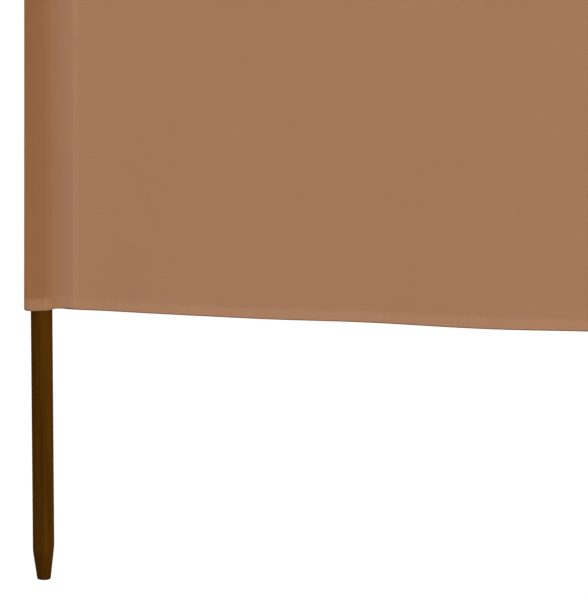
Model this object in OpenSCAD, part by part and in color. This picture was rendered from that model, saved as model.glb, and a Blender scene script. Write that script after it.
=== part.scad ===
// Beach windbreak: a run of cloth bays on round wooden poles.
// The run goes along X, its front faces -Y and the poles stand up along Z.
// The origin is the middle of the blunt tip of the centre pole.

/* [Poles] */
// Diameter of every pole
pole_d = 28; // [22:1:36]
// Length of the tapered tip
tip_len = 42; // [15:1:90]
// Diameter of the blunt end of the tip
tip_end_d = 17.6; // [6:0.2:20]
// Length of pole left bare under the cloth
bare_below = 360; // [150:5:600]
// Length of pole that stands out above the cloth
head_above = 40; // [10:5:120]
// Chamfer round the head of a pole
head_chamfer = 3; // [0.5:0.5:6]

/* [Cloth] */
// Height of the cloth, from edge to edge
cloth_h = 800; // [400:10:1600]
// Thickness of one layer of cloth
cloth_t = 0.8; // [0.5:0.1:1.2]
// Height of the folded hems
hem_h = 15; // [8:1:40]
// Layers that a hem folds behind the cloth
hem_layers = 2; // [1:1:3]

/* [Sleeves] */
// Gap between a pole and the cloth drawn round it
pole_gap = 0.3; // [0.2:0.1:0.8]
// Distance from the side of a pole to the seam of its sleeve
tail_w = 32; // [26:0.5:60]
// Width over which the two layers of a sleeve are stitched together
seam_w = 3; // [2:0.5:8]
// Width of the sleeve's folded edge that laps behind the next panel
lap_w = 2.5; // [1.5:0.5:20]
// How far an end sleeve stands loose of its pole
end_slack = 9; // [0:0.5:12]
// How far an inner sleeve stands loose of its pole
inner_slack = 2; // [0:0.5:6]

/* [Bays] */
// Number of bays
bays = 4; // [2:1:6]
// Distance from pole to pole
bay_w = 1250; // [700:10:1500]
// How far a panel bellies forward in the middle
belly = 12.5; // [0:0.5:30]
// Height of the soft waves in a panel
wave_h = 5; // [0:0.5:10]
// Length of one soft wave
wave_len = 300; // [200:10:500]
// Distance from the first pole to the first crest
first_crest = 280; // [100:10:400]
// How far the crests move on from one bay to the next
crest_step = 110; // [0:10:300]

/* [Hidden] */
// Heights
cloth_z = bare_below;
pole_len = bare_below + cloth_h + head_above;

// Plan of the cloth, seen from above. All of these are middle lines of a layer of cloth.
wrap_r = pole_d / 2 + pole_gap + cloth_t / 2;
seam_x = pole_d / 2 + tail_w;
join_x = seam_x - seam_w;
lap_x = seam_x + lap_w;
centre_pole = floor(bays / 2) + 1;

// Angles round a pole, anticlockwise from +X, at which the layers leave it
front_leave = 340;
back_leave = 55;
// Where the looseness of a sleeve lies, and how wide it spreads
end_loose_at = 220;
end_loose_spread = 38;
inner_loose_at = 270;
inner_loose_spread = 45;
// Pull of the curves that join a pole to its seam
front_pull = 0.8;
back_pull = 0.9;
seam_pull = 0.45;
seam_rise = 1.2;

arc_step = 9.5;
wing_steps = 8;
panel_steps = 44;
round_fn = 64;

wood = [0.282, 0.165, 0.016];
tan_cloth = [0.643, 0.471, 0.357];
hem_cloth = [0.667, 0.494, 0.380];

function pole_x(i) = (i - centre_pole) * bay_w;
function polar(r, a) = [r * cos(a), r * sin(a)];
function unit(v) = v / norm(v);
function flipped(list) = [for (k = [len(list) - 1:-1:0]) list[k]];
function mirrored(list) = [for (p = list) [-p[0], p[1]]];
function without_last(list, n) = [for (k = [0:len(list) - 1 - n]) list[k]];
function without_first(list, n) = [for (k = [n:len(list) - 1]) list[k]];

// The direction of travel along a path at its point k
function heading(path, k) =
    unit(path[min(k + 1, len(path) - 1)] - path[max(k - 1, 0)]);

// A path moved sideways by d, to the right of its travel
function beside(path, d) =
    [for (k = [0:len(path) - 1])
        let (h = heading(path, k)) path[k] + d * [h[1], -h[0]]];

// The outline of a layer of cloth whose middle line is the path
function layer(path) = concat(beside(path, cloth_t / 2), flipped(beside(path, -cloth_t / 2)));

// A cubic curve from a to d, drawn towards b and c
function curve(a, b, c, d, steps) =
    [for (k = [0:steps])
        let (t = k / steps, u = 1 - t)
        u * u * u * a + 3 * u * u * t * b + 3 * u * t * t * c + t * t * t * d];

// Distance of a sleeve from the axis of its pole at angle a: drawn close, and loose round one angle
function wrap(a, slack, at, spread) = wrap_r + slack * exp(-pow((a - at) / spread, 2));

// Points round a pole between two angles
function wrapped(from, to, slack, at, spread) =
    let (steps = round((to - from) / arc_step))
    [for (k = [0:steps])
        let (a = from + (to - from) * k / steps)
        polar(wrap(a, slack, at, spread), a)];

// The front layer from the pole to the seam on its +X side, with its trough beside the pole
function front_wing(start) =
    concat(
        without_first(
            curve(start,
                  start + front_pull * wrap_r * [-sin(front_leave), cos(front_leave)],
                  [join_x - seam_pull * tail_w, seam_rise],
                  [join_x, 0],
                  wing_steps),
            1),
        [[seam_x, 0]]);

// The back layer from the seam on the +X side to the pole
function back_wing(finish) =
    concat(
        [[seam_x, cloth_t]],
        without_last(
            curve([join_x, cloth_t],
                  [join_x - seam_pull * tail_w, cloth_t + 2 * seam_rise],
                  finish + back_pull * wrap_r * [sin(back_leave), -cos(back_leave)],
                  finish,
                  wing_steps),
            1));

// The folded edge of a sleeve, as an outline, behind a panel whose middle line is that far back there
function lap(panel_back) =
    [[seam_x, cloth_t / 2],
     [lap_x, panel_back + cloth_t / 2],
     [lap_x, panel_back + cloth_t * 3 / 2],
     [seam_x, cloth_t * 3 / 2]];

// The middle line of the panel in bay i, s away from its left pole
function panel_y(i, s) =
    -sin(180 * (s - seam_x) / (bay_w - 2 * seam_x))
    * (belly + wave_h * cos(360 * (s - first_crest - (i - 1) * crest_step) / wave_len));

// Distances from the left pole at which a panel's middle line has its points
function hem_stations() =
    [for (k = [0:panel_steps]) lap_x + (bay_w - 2 * lap_x) * k / panel_steps];
function panel_stations() = concat([seam_x], hem_stations(), [bay_w - seam_x]);

// A strip of bay i's panel between two distances behind its middle line, as an outline
function strip(i, stations, near, far) =
    concat([for (s = stations) [s, panel_y(i, s) + near]],
           [for (s = flipped(stations)) [s, panel_y(i, s) + far]]);

module upright(points, z, h) {
    translate([0, 0, z])
        linear_extrude(h)
            polygon(points);
}

// A turned pole with a blunt taper to drive into the ground and a chamfered head to strike
module pole() {
    color(wood) {
        cylinder(h = tip_len, d1 = tip_end_d, d2 = pole_d, $fn = round_fn);
        translate([0, 0, tip_len])
            cylinder(h = pole_len - tip_len - head_chamfer, d = pole_d, $fn = round_fn);
        translate([0, 0, pole_len - head_chamfer])
            cylinder(h = head_chamfer, d1 = pole_d, d2 = pole_d - 2 * head_chamfer, $fn = round_fn);
    }
}

// The sleeve on the left end pole: one loop of cloth from the seam round the pole and back
module end_sleeve(panel_back) {
    around = wrapped(back_leave, front_leave, end_slack, end_loose_at, end_loose_spread);
    loop = concat(
        back_wing(around[0]),
        around,
        front_wing(around[len(around) - 1]));
    inside = without_first(without_last(beside(loop, -cloth_t / 2), 2), 2);
    color(tan_cloth)
        difference() {
            union() {
                upright(beside(loop, cloth_t / 2), cloth_z, cloth_h);
                upright(lap(panel_back), cloth_z, cloth_h);
            }
            upright(concat(inside, [[join_x, cloth_t / 2]]), cloth_z - 1, cloth_h + 2);
        }
}

// The cloth in front of an inner pole, from the seam on its left to the seam on its right
module sleeve_front() {
    arc = wrapped(540 - front_leave, front_leave, inner_slack, inner_loose_at, inner_loose_spread);
    wing = front_wing(arc[len(arc) - 1]);
    path = concat(flipped(mirrored(wing)), arc, wing);
    color(tan_cloth)
        upright(layer(path), cloth_z, cloth_h);
}

// The strip behind an inner pole, stitched at both seams, with its edges behind the two panels
module sleeve_back(left_back, right_back) {
    arc = wrapped(back_leave, 180 - back_leave, 0, inner_loose_at, inner_loose_spread);
    wing = back_wing(arc[0]);
    path = concat(wing, arc, flipped(mirrored(wing)));
    color(tan_cloth) {
        upright(layer(path), cloth_z, cloth_h);
        upright(lap(right_back), cloth_z, cloth_h);
        upright(mirrored(lap(left_back)), cloth_z, cloth_h);
    }
}

// The sleeve on pole i
module sleeve(i) {
    if (i == 1)
        end_sleeve(panel_y(1, lap_x));
    else if (i == bays + 1)
        mirror([1, 0, 0])
            end_sleeve(panel_y(bays, bay_w - lap_x));
    else
        sleeve_front();
}

// The single layer of cloth in bay i, from seam to seam
module panel(i) {
    color(tan_cloth)
        upright(strip(i, panel_stations(), -cloth_t / 2, cloth_t / 2), cloth_z, cloth_h);
}

// The layers folded behind the edge of bay i, with their lower side at z
module hem(i, z) {
    color(hem_cloth)
        upright(
            strip(i, hem_stations(), cloth_t / 2, cloth_t / 2 + hem_layers * cloth_t),
            z, hem_h);
}

for (i = [1:bays + 1]) {
    translate([pole_x(i), 0, 0]) pole();
    translate([pole_x(i), 0, 0]) sleeve(i);
}
for (i = [2:bays])
    translate([pole_x(i), 0, 0])
            sleeve_back(panel_y(i - 1, bay_w - lap_x), panel_y(i, lap_x));
for (i = [1:bays]) {
    translate([pole_x(i), 0, 0]) panel(i);
    translate([pole_x(i), 0, 0]) hem(i, cloth_z);
    translate([pole_x(i), 0, 0]) hem(i, cloth_z + cloth_h - hem_h);
}
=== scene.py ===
"""Beach windbreak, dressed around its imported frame.

The windbreak is a run of plain cloth bays on round wooden poles. Every cloth piece is a thin closed shell:
the section of the cloth, with its turned hems, is carried along the cloth's path in plan. Poles are turned
surfaces with a ground tip, and every seam and hem has its stitches.

Throughout, along is the distance along a piece's path in plan, up is the height, and out is the distance
from the middle of the cloth's front layer, positive towards its outer face.
"""
import logging
import math
from collections.abc import Callable, Sequence
from dataclasses import dataclass, field
from enum import Enum, IntEnum
from typing import ClassVar

import bpy
import numpy as np
from mathutils import Matrix, Vector


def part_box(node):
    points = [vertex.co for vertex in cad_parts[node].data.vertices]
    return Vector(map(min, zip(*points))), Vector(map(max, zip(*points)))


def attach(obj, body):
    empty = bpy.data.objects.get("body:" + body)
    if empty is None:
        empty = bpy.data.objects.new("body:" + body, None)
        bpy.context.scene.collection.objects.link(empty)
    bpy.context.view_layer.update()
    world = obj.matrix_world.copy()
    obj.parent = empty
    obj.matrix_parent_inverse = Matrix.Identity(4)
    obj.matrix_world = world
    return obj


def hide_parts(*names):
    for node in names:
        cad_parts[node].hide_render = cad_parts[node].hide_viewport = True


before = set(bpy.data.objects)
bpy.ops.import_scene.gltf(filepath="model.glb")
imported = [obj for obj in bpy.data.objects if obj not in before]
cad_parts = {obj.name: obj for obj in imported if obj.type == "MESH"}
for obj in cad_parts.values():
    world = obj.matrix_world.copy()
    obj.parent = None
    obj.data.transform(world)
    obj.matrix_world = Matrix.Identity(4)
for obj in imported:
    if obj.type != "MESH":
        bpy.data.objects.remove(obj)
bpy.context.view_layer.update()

log = logging.getLogger("windbreak")

MM = 0.001
FULL_TURN = 2.0 * math.pi
HALF_ROUND = 180.0
GOLDEN_ANGLE = math.radians(137.5)
WHITE = (1.0, 1.0, 1.0, 1.0)
MAP_NAME = "cloth_map"

Array = np.ndarray
Colour = tuple[int, int, int]
Scale = tuple[float, float, float]
Socket = bpy.types.NodeSocket
Curve = Callable[[Array, Array], tuple[Array, Array]]
Plan = Callable[[Array, Array], tuple[Array, Array, Array]]
Place = Callable[[Array, Array, Array], Array]


class Side(Enum):
    """The two sides of a pole along the run, by the sign of X."""

    LEFT = -1
    RIGHT = 1


class Edge(Enum):
    """The two hemmed edges of the cloth."""

    BOTTOM = "bottom"
    TOP = "top"


class Face(Enum):
    """The two faces of a layer, by the sign of the distance out of it."""

    FRONT = 1
    BACK = -1


class Mark(Enum):
    """What the cloth's finish reads at each point, by the name of the attribute, from 0 to 1."""

    LAYERS = "layers"
    # painted shade: how much the pole shades the cloth from the light that comes through it
    BEHIND = "behind"
    # painted shade at the folded edges
    EDGE = "edge"
    LIT = "lit"


class Seed(IntEnum):
    """Numbers that the seeds of the random draws are made from, by what is drawn."""

    SEAM_SIDE = 7
    STEP = 10
    SEAM_DRIFT = 11
    BAY = 40
    SEAM_POLE = 100
    SLEEVE = 200
    SLEEVE_HEM = 300
    END_SEAM = 500
    INNER_SEAM = 520
    HEM_FRONT = 600
    HEM_BACK = 620


Marks = Callable[[Array, Array], dict[Mark, Array]]


def tone(colour: Colour) -> tuple[float, float, float, float]:
    """Turn a display colour into the linear colour that a shader takes.

    Each part is a share of 255, plus 0.055, over 1.055, to the power of 2.4.

    Args:
        colour: Red, green and blue from 0 to 255.

    Returns:
        Linear red, green and blue, and an alpha of 1.
    """
    linear = [(value / 255 + 0.055) / 1.055 for value in colour]
    return (*(value ** 2.4 for value in linear), 1.0)


def ease(share: Array) -> Array:
    """Rise softly from 0 to 1 as share goes from 0 to 1: three squares less two cubes."""
    held = np.clip(share, 0.0, 1.0)
    return held * held * (3.0 - 2.0 * held)


def hump(distance: Array, width: float) -> Array:
    """A bell that is 1 at distance 0 and falls off within about one width."""
    return np.exp(-((distance / width) ** 2))


def lesser(first: Array, second: Array, soft: float) -> Array:
    """The smaller of two lengths, rounded where they meet.

    Args:
        first: One length.
        second: The other length.
        soft: Difference under which the two are blended.

    Returns:
        The smaller length, less a quarter of soft where both are equal.
    """
    share = np.clip(0.5 + 0.5 * (second - first) / soft, 0.0, 1.0)
    return second + (first - second) * share - soft * share * (1.0 - share)


@dataclass(frozen=True)
class Spot:
    """A place near which stations are set closer together."""

    place: float
    fine: float
    reach: float


def stations(low: float, high: float, coarse: float, spots: Sequence[Spot], samples: int = 6001) -> Array:
    """Set out stations that crowd together near some spots.

    The number of stations per metre is one over coarse, raised to one over fine by a bell at each spot. It
    is summed from low to high, and the places are read where the sum passes whole steps.

    Args:
        low: First station.
        high: Last station.
        coarse: Distance between stations away from the spots.
        spots: Places with finer stations.
        samples: Number of places at which the density is worked out.

    Returns:
        The stations in rising order.
    """
    line = np.linspace(low, high, samples)
    density = np.full_like(line, 1.0 / coarse)
    for spot in spots:
        density += (1.0 / spot.fine - 1.0 / coarse) * hump(line - spot.place, spot.reach)
    steps = (density[1:] + density[:-1]) / 2.0 * np.diff(line)
    count = np.concatenate([[0.0], np.cumsum(steps)])
    return np.interp(np.linspace(0.0, count[-1], round(count[-1]) + 1), count, line)


@dataclass(frozen=True)
class Ripples:
    """Soft unevenness of a surface: plane waves in drawn directions, with drawn phases."""

    height: float
    shortest: float
    longest: float
    seed: int
    waves: int = 7

    def at(self, along: Array, up: Array) -> Array:
        """Height of the unevenness: the waves' sines added up and divided by the root of their number.

        Args:
            along: Distances along the cloth.
            up: Heights.

        Returns:
            Heights, of about the stated height.
        """
        draw = np.random.default_rng(self.seed)
        length = np.geomspace(self.shortest, self.longest, self.waves)
        turn = draw.uniform(0.0, FULL_TURN, self.waves)
        start = draw.uniform(0.0, FULL_TURN, self.waves)
        across = along[..., None] * np.cos(turn) + up[..., None] * np.sin(turn)
        waves = np.sin(FULL_TURN * across / length + start)
        return self.height / math.sqrt(self.waves) * waves.sum(axis=-1)


@dataclass(frozen=True)
class Layout:
    """Sizes of the windbreak, in metres, as the frame has them."""

    poles: tuple[float, ...]
    pole_radius: float
    pole_top: float
    cloth_low: float
    cloth_high: float
    hem: float
    seam: float
    lap: float

    @classmethod
    def from_frame(cls) -> "Layout":
        """Read the sizes off the boxes of the frame's nodes.

        Returns:
            The layout.
        """
        count = sum(name.startswith("pole_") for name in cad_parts)
        boxes = [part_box(f"pole_{number}") for number in range(1, count + 1)]
        middles = tuple((low.x + high.x) / 2 for low, high in boxes)
        low, high = boxes[0]
        panel_low, panel_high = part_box("panel_1")
        hem_low, hem_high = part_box("bottom_hem_1")
        return cls(
            poles=middles,
            pole_radius=(high.x - low.x) / 2,
            pole_top=high.z,
            cloth_low=panel_low.z,
            cloth_high=panel_high.z,
            hem=hem_high.z - hem_low.z,
            seam=panel_low.x - middles[0],
            lap=hem_low.x - middles[0],
        )

    @property
    def bay(self) -> float:
        """Distance from pole to pole."""
        return self.poles[1] - self.poles[0]

    @property
    def bays(self) -> int:
        """Number of bays."""
        return len(self.poles) - 1

    @property
    def height(self) -> float:
        """Height of the cloth."""
        return self.cloth_high - self.cloth_low

    @property
    def middle(self) -> float:
        """Height half-way up the cloth."""
        return (self.cloth_low + self.cloth_high) / 2

    def rise(self, up: Array) -> Array:
        """Share of the cloth's height, from 0 at its lower edge to 1 at its upper one."""
        return (up - self.cloth_low) / self.height


@dataclass(frozen=True)
class Weave:
    """The cloth as a material to sew with: one layer, and how layers lie on each other."""

    thick: float = 0.45 * MM
    between: float = 0.05 * MM
    stitch_in: float = 2.0 * MM
    stitch_pitch: float = 4.0 * MM

    @property
    def half(self) -> float:
        """Half the thickness of a layer."""
        return self.thick / 2

    @property
    def pitch(self) -> float:
        """Distance from the middle of one layer to the middle of the next."""
        return self.thick + self.between


@dataclass(frozen=True)
class Section:
    """Closed outline of a layer in a cut across it: out of the cloth, up, and length along the layer."""

    out: Array
    up: Array
    length: Array
    blunt: tuple[bool, bool]


def ribbon(out: Array, up: Array, thick: float, blunt: tuple[bool, bool] = (False, False)) -> Section:
    """Give a middle line its thickness.

    The outline runs up the line's right side at half the thickness from it and back down its left side. An
    end that isn't blunt is rounded by one more point on each side, 45 degrees round the end.

    Args:
        out: Distances of the line's points out of the cloth.
        up: Heights of the line's points.
        thick: Thickness of the layer.
        blunt: Whether the start and the end are cut square, because another layer goes on there.

    Returns:
        The section, with its points paired from both ends.
    """
    line = np.stack([out, up], axis=1)
    step = np.gradient(line, axis=0)
    step /= np.linalg.norm(step, axis=1, keepdims=True)
    side = np.stack([step[:, 1], -step[:, 0]], axis=1) * thick / 2
    right, left = line + side, line - side
    run = np.concatenate([[0.0], np.cumsum(np.linalg.norm(np.diff(line, axis=0), axis=1))])
    bevel = math.sqrt(0.5)
    if not blunt[0]:
        back = -step[:1] * thick / 2 * bevel
        right = np.concatenate([line[:1] + side[:1] * bevel + back, right])
        left = np.concatenate([line[:1] - side[:1] * bevel + back, left])
        run = np.concatenate([run[:1], run])
    if not blunt[1]:
        ahead = step[-1:] * thick / 2 * bevel
        right = np.concatenate([right, line[-1:] + side[-1:] * bevel + ahead])
        left = np.concatenate([left, line[-1:] - side[-1:] * bevel + ahead])
        run = np.concatenate([run, run[-1:]])
    outline = np.concatenate([right, left[::-1]])
    return Section(outline[:, 0], outline[:, 1], np.concatenate([run, run[::-1]]), blunt)


@dataclass(frozen=True)
class HemFold:
    """The turned edge of the cloth: under it, up behind it, over, and down between to the raw edge."""

    weave: Weave
    hem: float
    raw_edge: float = 2.0 * MM
    below_stitch: float = 1.0 * MM
    above_stitch: float = 0.6 * MM
    under_points: int = 6
    over_points: int = 5

    @property
    def start(self) -> float:
        """Height above the edge at which the front layer goes over into the fold."""
        return self.weave.half + self.weave.pitch

    def line(self) -> tuple[Array, Array]:
        """Middle line of the turned layers of a lower edge.

        Two half circles, one a pitch in radius under the edge and one half a pitch in radius at the top,
        joined by the back layer, two pitches behind, and ended by the middle layer, one pitch behind.

        Returns:
            Distances out of the cloth, and heights above the edge.
        """
        pitch = self.weave.pitch
        top = self.hem - self.weave.half - pitch / 2
        under = np.radians(np.linspace(0.0, HALF_ROUND, self.under_points))
        over = np.radians(np.linspace(HALF_ROUND, 0.0, self.over_points))
        stitch = self.hem - self.weave.stitch_in
        back = np.array([stitch / 2, stitch - self.below_stitch, stitch, stitch + self.above_stitch])
        middle = np.append(back[::-1], self.raw_edge)
        out = np.concatenate([
            pitch * (np.cos(under) - 1.0),
            np.full_like(back, -2.0 * pitch),
            pitch * (0.5 * np.cos(over) - 1.5),
            np.full_like(middle, -pitch),
        ])
        up = np.concatenate([
            self.start - pitch * np.sin(under),
            back,
            top + 0.5 * pitch * np.sin(over),
            middle,
        ])
        return out, up


def shell(
    name: str,
    place: Place,
    along: Array,
    section: Section,
    marks: Marks,
    finish: bpy.types.Material,
    turned: bool = False,
) -> bpy.types.Object:
    """Carry a section of cloth along its path and make the mesh.

    Each point is where the path puts the section's distance out and height at that station. The grid is
    closed round the section, and both ends are closed by quads between its two sides.

    Args:
        name: Name of the piece.
        place: Gives the points for stations, heights and distances out.
        along: Stations along the path, in metres.
        section: Section of the cloth.
        marks: Gives the values that the finish reads at each station and height.
        finish: Material of the piece.
        turned: Whether the path is mirrored, so that faces are wound the other way.

    Returns:
        The new object.
    """
    rows, places = len(along), len(section.out)
    u = np.repeat(along[:, None], places, axis=1)
    up = np.repeat(section.up[None, :], rows, axis=0)
    out = np.repeat(section.out[None, :], rows, axis=0)
    points = place(u, up, out).reshape(-1, 3)
    row, column = np.meshgrid(np.arange(rows - 1), np.arange(places), indexing="ij")
    after = (column + 1) % places
    here, there = row * places, (row + 1) * places
    sides = np.stack([here + column, there + column, there + after, here + after], axis=-1).reshape(-1, 4)
    rough = np.zeros((rows - 1, places), bool)
    rough[:, places - 1] = section.blunt[0]
    rough[:, places // 2 - 1] = section.blunt[1]
    pair = np.arange(places // 2 - 1)
    cap = np.stack([pair, pair + 1, places - 2 - pair, places - 1 - pair], axis=-1)
    faces = np.concatenate([sides, cap, (rows - 1) * places + cap[:, ::-1]])
    flat = np.concatenate([rough.reshape(-1), np.ones(2 * len(cap), bool)])
    if turned:
        faces = faces[:, ::-1]
    piece = mesh_object(name, points, faces, flat, [finish])
    lengths = np.repeat(section.length[None, :], rows, axis=0)
    set_uv(piece, np.stack([u, lengths], axis=-1).reshape(-1, 2)[faces.reshape(-1)])
    for mark, values in marks(u, up).items():
        layer = piece.data.attributes.new(mark.value, "FLOAT", "POINT")
        layer.data.foreach_set("value", np.ascontiguousarray(values.reshape(-1), np.float32))
    return piece


def mesh_object(
    name: str, points: Array, faces: Array, flat: Array, finishes: Sequence[bpy.types.Material]
) -> bpy.types.Object:
    """Make an object from points and faces that all have the same number of corners.

    Args:
        name: Name of the object.
        points: Points, one row each.
        faces: Indices of the points of each face, one row each.
        flat: Whether each face is shaded flat.
        finishes: Materials of the object.

    Returns:
        The new object, in the scene.
    """
    mesh = bpy.data.meshes.new(name)
    count, corners = faces.shape
    mesh.vertices.add(len(points))
    mesh.vertices.foreach_set("co", np.ascontiguousarray(points, np.float32).reshape(-1))
    mesh.loops.add(count * corners)
    mesh.loops.foreach_set("vertex_index", np.ascontiguousarray(faces, np.int32).reshape(-1))
    mesh.polygons.add(count)
    mesh.polygons.foreach_set("loop_start", np.arange(0, count * corners, corners, dtype=np.int32))
    mesh.polygons.foreach_set("use_smooth", ~flat)
    for finish in finishes:
        mesh.materials.append(finish)
    mesh.update(calc_edges=True)
    mesh.validate()
    piece = bpy.data.objects.new(name, mesh)
    bpy.context.scene.collection.objects.link(piece)
    return piece


def set_uv(piece: bpy.types.Object, corners: Array) -> None:
    """Give a piece its UV map.

    Args:
        piece: The piece.
        corners: U and V, in metres, of each corner of each face.
    """
    layer = piece.data.uv_layers.new(name=MAP_NAME)
    layer.data.foreach_set("uv", np.ascontiguousarray(corners, np.float32).reshape(-1))


class Graph:
    """The nodes of a material or a world, with short calls to add them and join them."""

    def __init__(self, owner: bpy.types.ID) -> None:
        """Give a material or a world an empty node tree.

        Args:
            owner: The material or the world.
        """
        owner.use_nodes = True
        self.owner = owner
        self.tree = owner.node_tree
        self.tree.nodes.clear()

    def add(self, kind: str, inputs: dict | None = None, **settings: object) -> bpy.types.Node:
        """Add a node.

        Args:
            kind: Blender's name of the node's type, without its ShaderNode prefix.
            inputs: Values or sockets for the node's inputs, by name or number.
            settings: Properties of the node.

        Returns:
            The new node.
        """
        node = self.tree.nodes.new("ShaderNode" + kind)
        for name, value in settings.items():
            setattr(node, name, value)
        for key, value in (inputs or {}).items():
            if isinstance(value, Socket):
                self.tree.links.new(value, node.inputs[key])
            else:
                node.inputs[key].default_value = value
        return node

    def flat_map(self) -> Socket:
        """Place on the piece's UV map, in metres."""
        return self.add("UVMap", uv_map=MAP_NAME).outputs[0]

    def math(self, operation: str, first: object, second: object = 0.0, third: object = 0.0) -> Socket:
        """Work out one number from one, two or three others."""
        return self.add("Math", {0: first, 1: second, 2: third}, operation=operation).outputs[0]

    def noise(self, vector: object, scale: Scale, detail: float) -> Socket:
        """Noise from 0 to 1, about 0.5, with as many bumps in a unit of each axis as its scale says."""
        scaled = self.add("VectorMath", {0: vector, 1: scale}, operation="MULTIPLY").outputs[0]
        return self.add("TexNoise", {"Vector": scaled, "Scale": 1.0, "Detail": detail}).outputs[0]

    def within(self, value: object, low: float, high: float, to_low: float, to_high: float) -> Socket:
        """Carry a range of values over to another, clamped at its ends."""
        node = self.add("MapRange", {0: value, 1: low, 2: high, 3: to_low, 4: to_high})
        return node.outputs[0]

    def blend(self, share: object, first: object, second: object) -> Socket:
        """Blend two colours by a share from 0 to 1."""
        node = self.add("Mix", {0: share, 6: first, 7: second}, data_type="RGBA")
        return node.outputs[2]

    def lighten(self, colour: object, factor: object) -> Socket:
        """Multiply a colour by a number.

        Args:
            colour: The colour.
            factor: The number.

        Returns:
            The lighter or darker colour.
        """
        grey = self.add("CombineColor", {0: factor, 1: factor, 2: factor}).outputs[0]
        node = self.add("Mix", {0: 1.0, 6: colour, 7: grey}, data_type="RGBA", blend_type="MULTIPLY")
        return node.outputs[2]

    def shown(self) -> Socket:
        """1 for the rays that show a surface, straight, mirrored or through glass, and 0 for the others.

        Returns:
            The number.
        """
        rays = self.add("LightPath").outputs
        seen = self.math("MAXIMUM", rays["Is Camera Ray"], rays["Is Glossy Ray"])
        return self.math("MAXIMUM", seen, rays["Is Transmission Ray"])

    def surface(
        self, colour: object, height: object, depth: float, roughness: float, specular: float
    ) -> bpy.types.Material:
        """End a material with an opaque surface.

        Args:
            colour: Its colour.
            height: What raises it, from 0 to about 1.
            depth: How far it is raised, in metres.
            roughness: How matt it is.
            specular: How much it mirrors.

        Returns:
            The material.
        """
        bump = self.add("Bump", {"Height": height, "Distance": depth, "Strength": 1.0})
        shader = self.add("BsdfPrincipled", {
            "Base Color": colour,
            "Roughness": roughness,
            "Specular IOR Level": specular,
            "Normal": bump.outputs[0],
        })
        return self.finish(shader, "OutputMaterial")

    def finish(self, shader: bpy.types.Node, output: str) -> bpy.types.ID:
        """Join a shader to the surface of an output and hand over the material or the world."""
        self.add(output, {0: shader.outputs[0]})
        return self.owner


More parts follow.
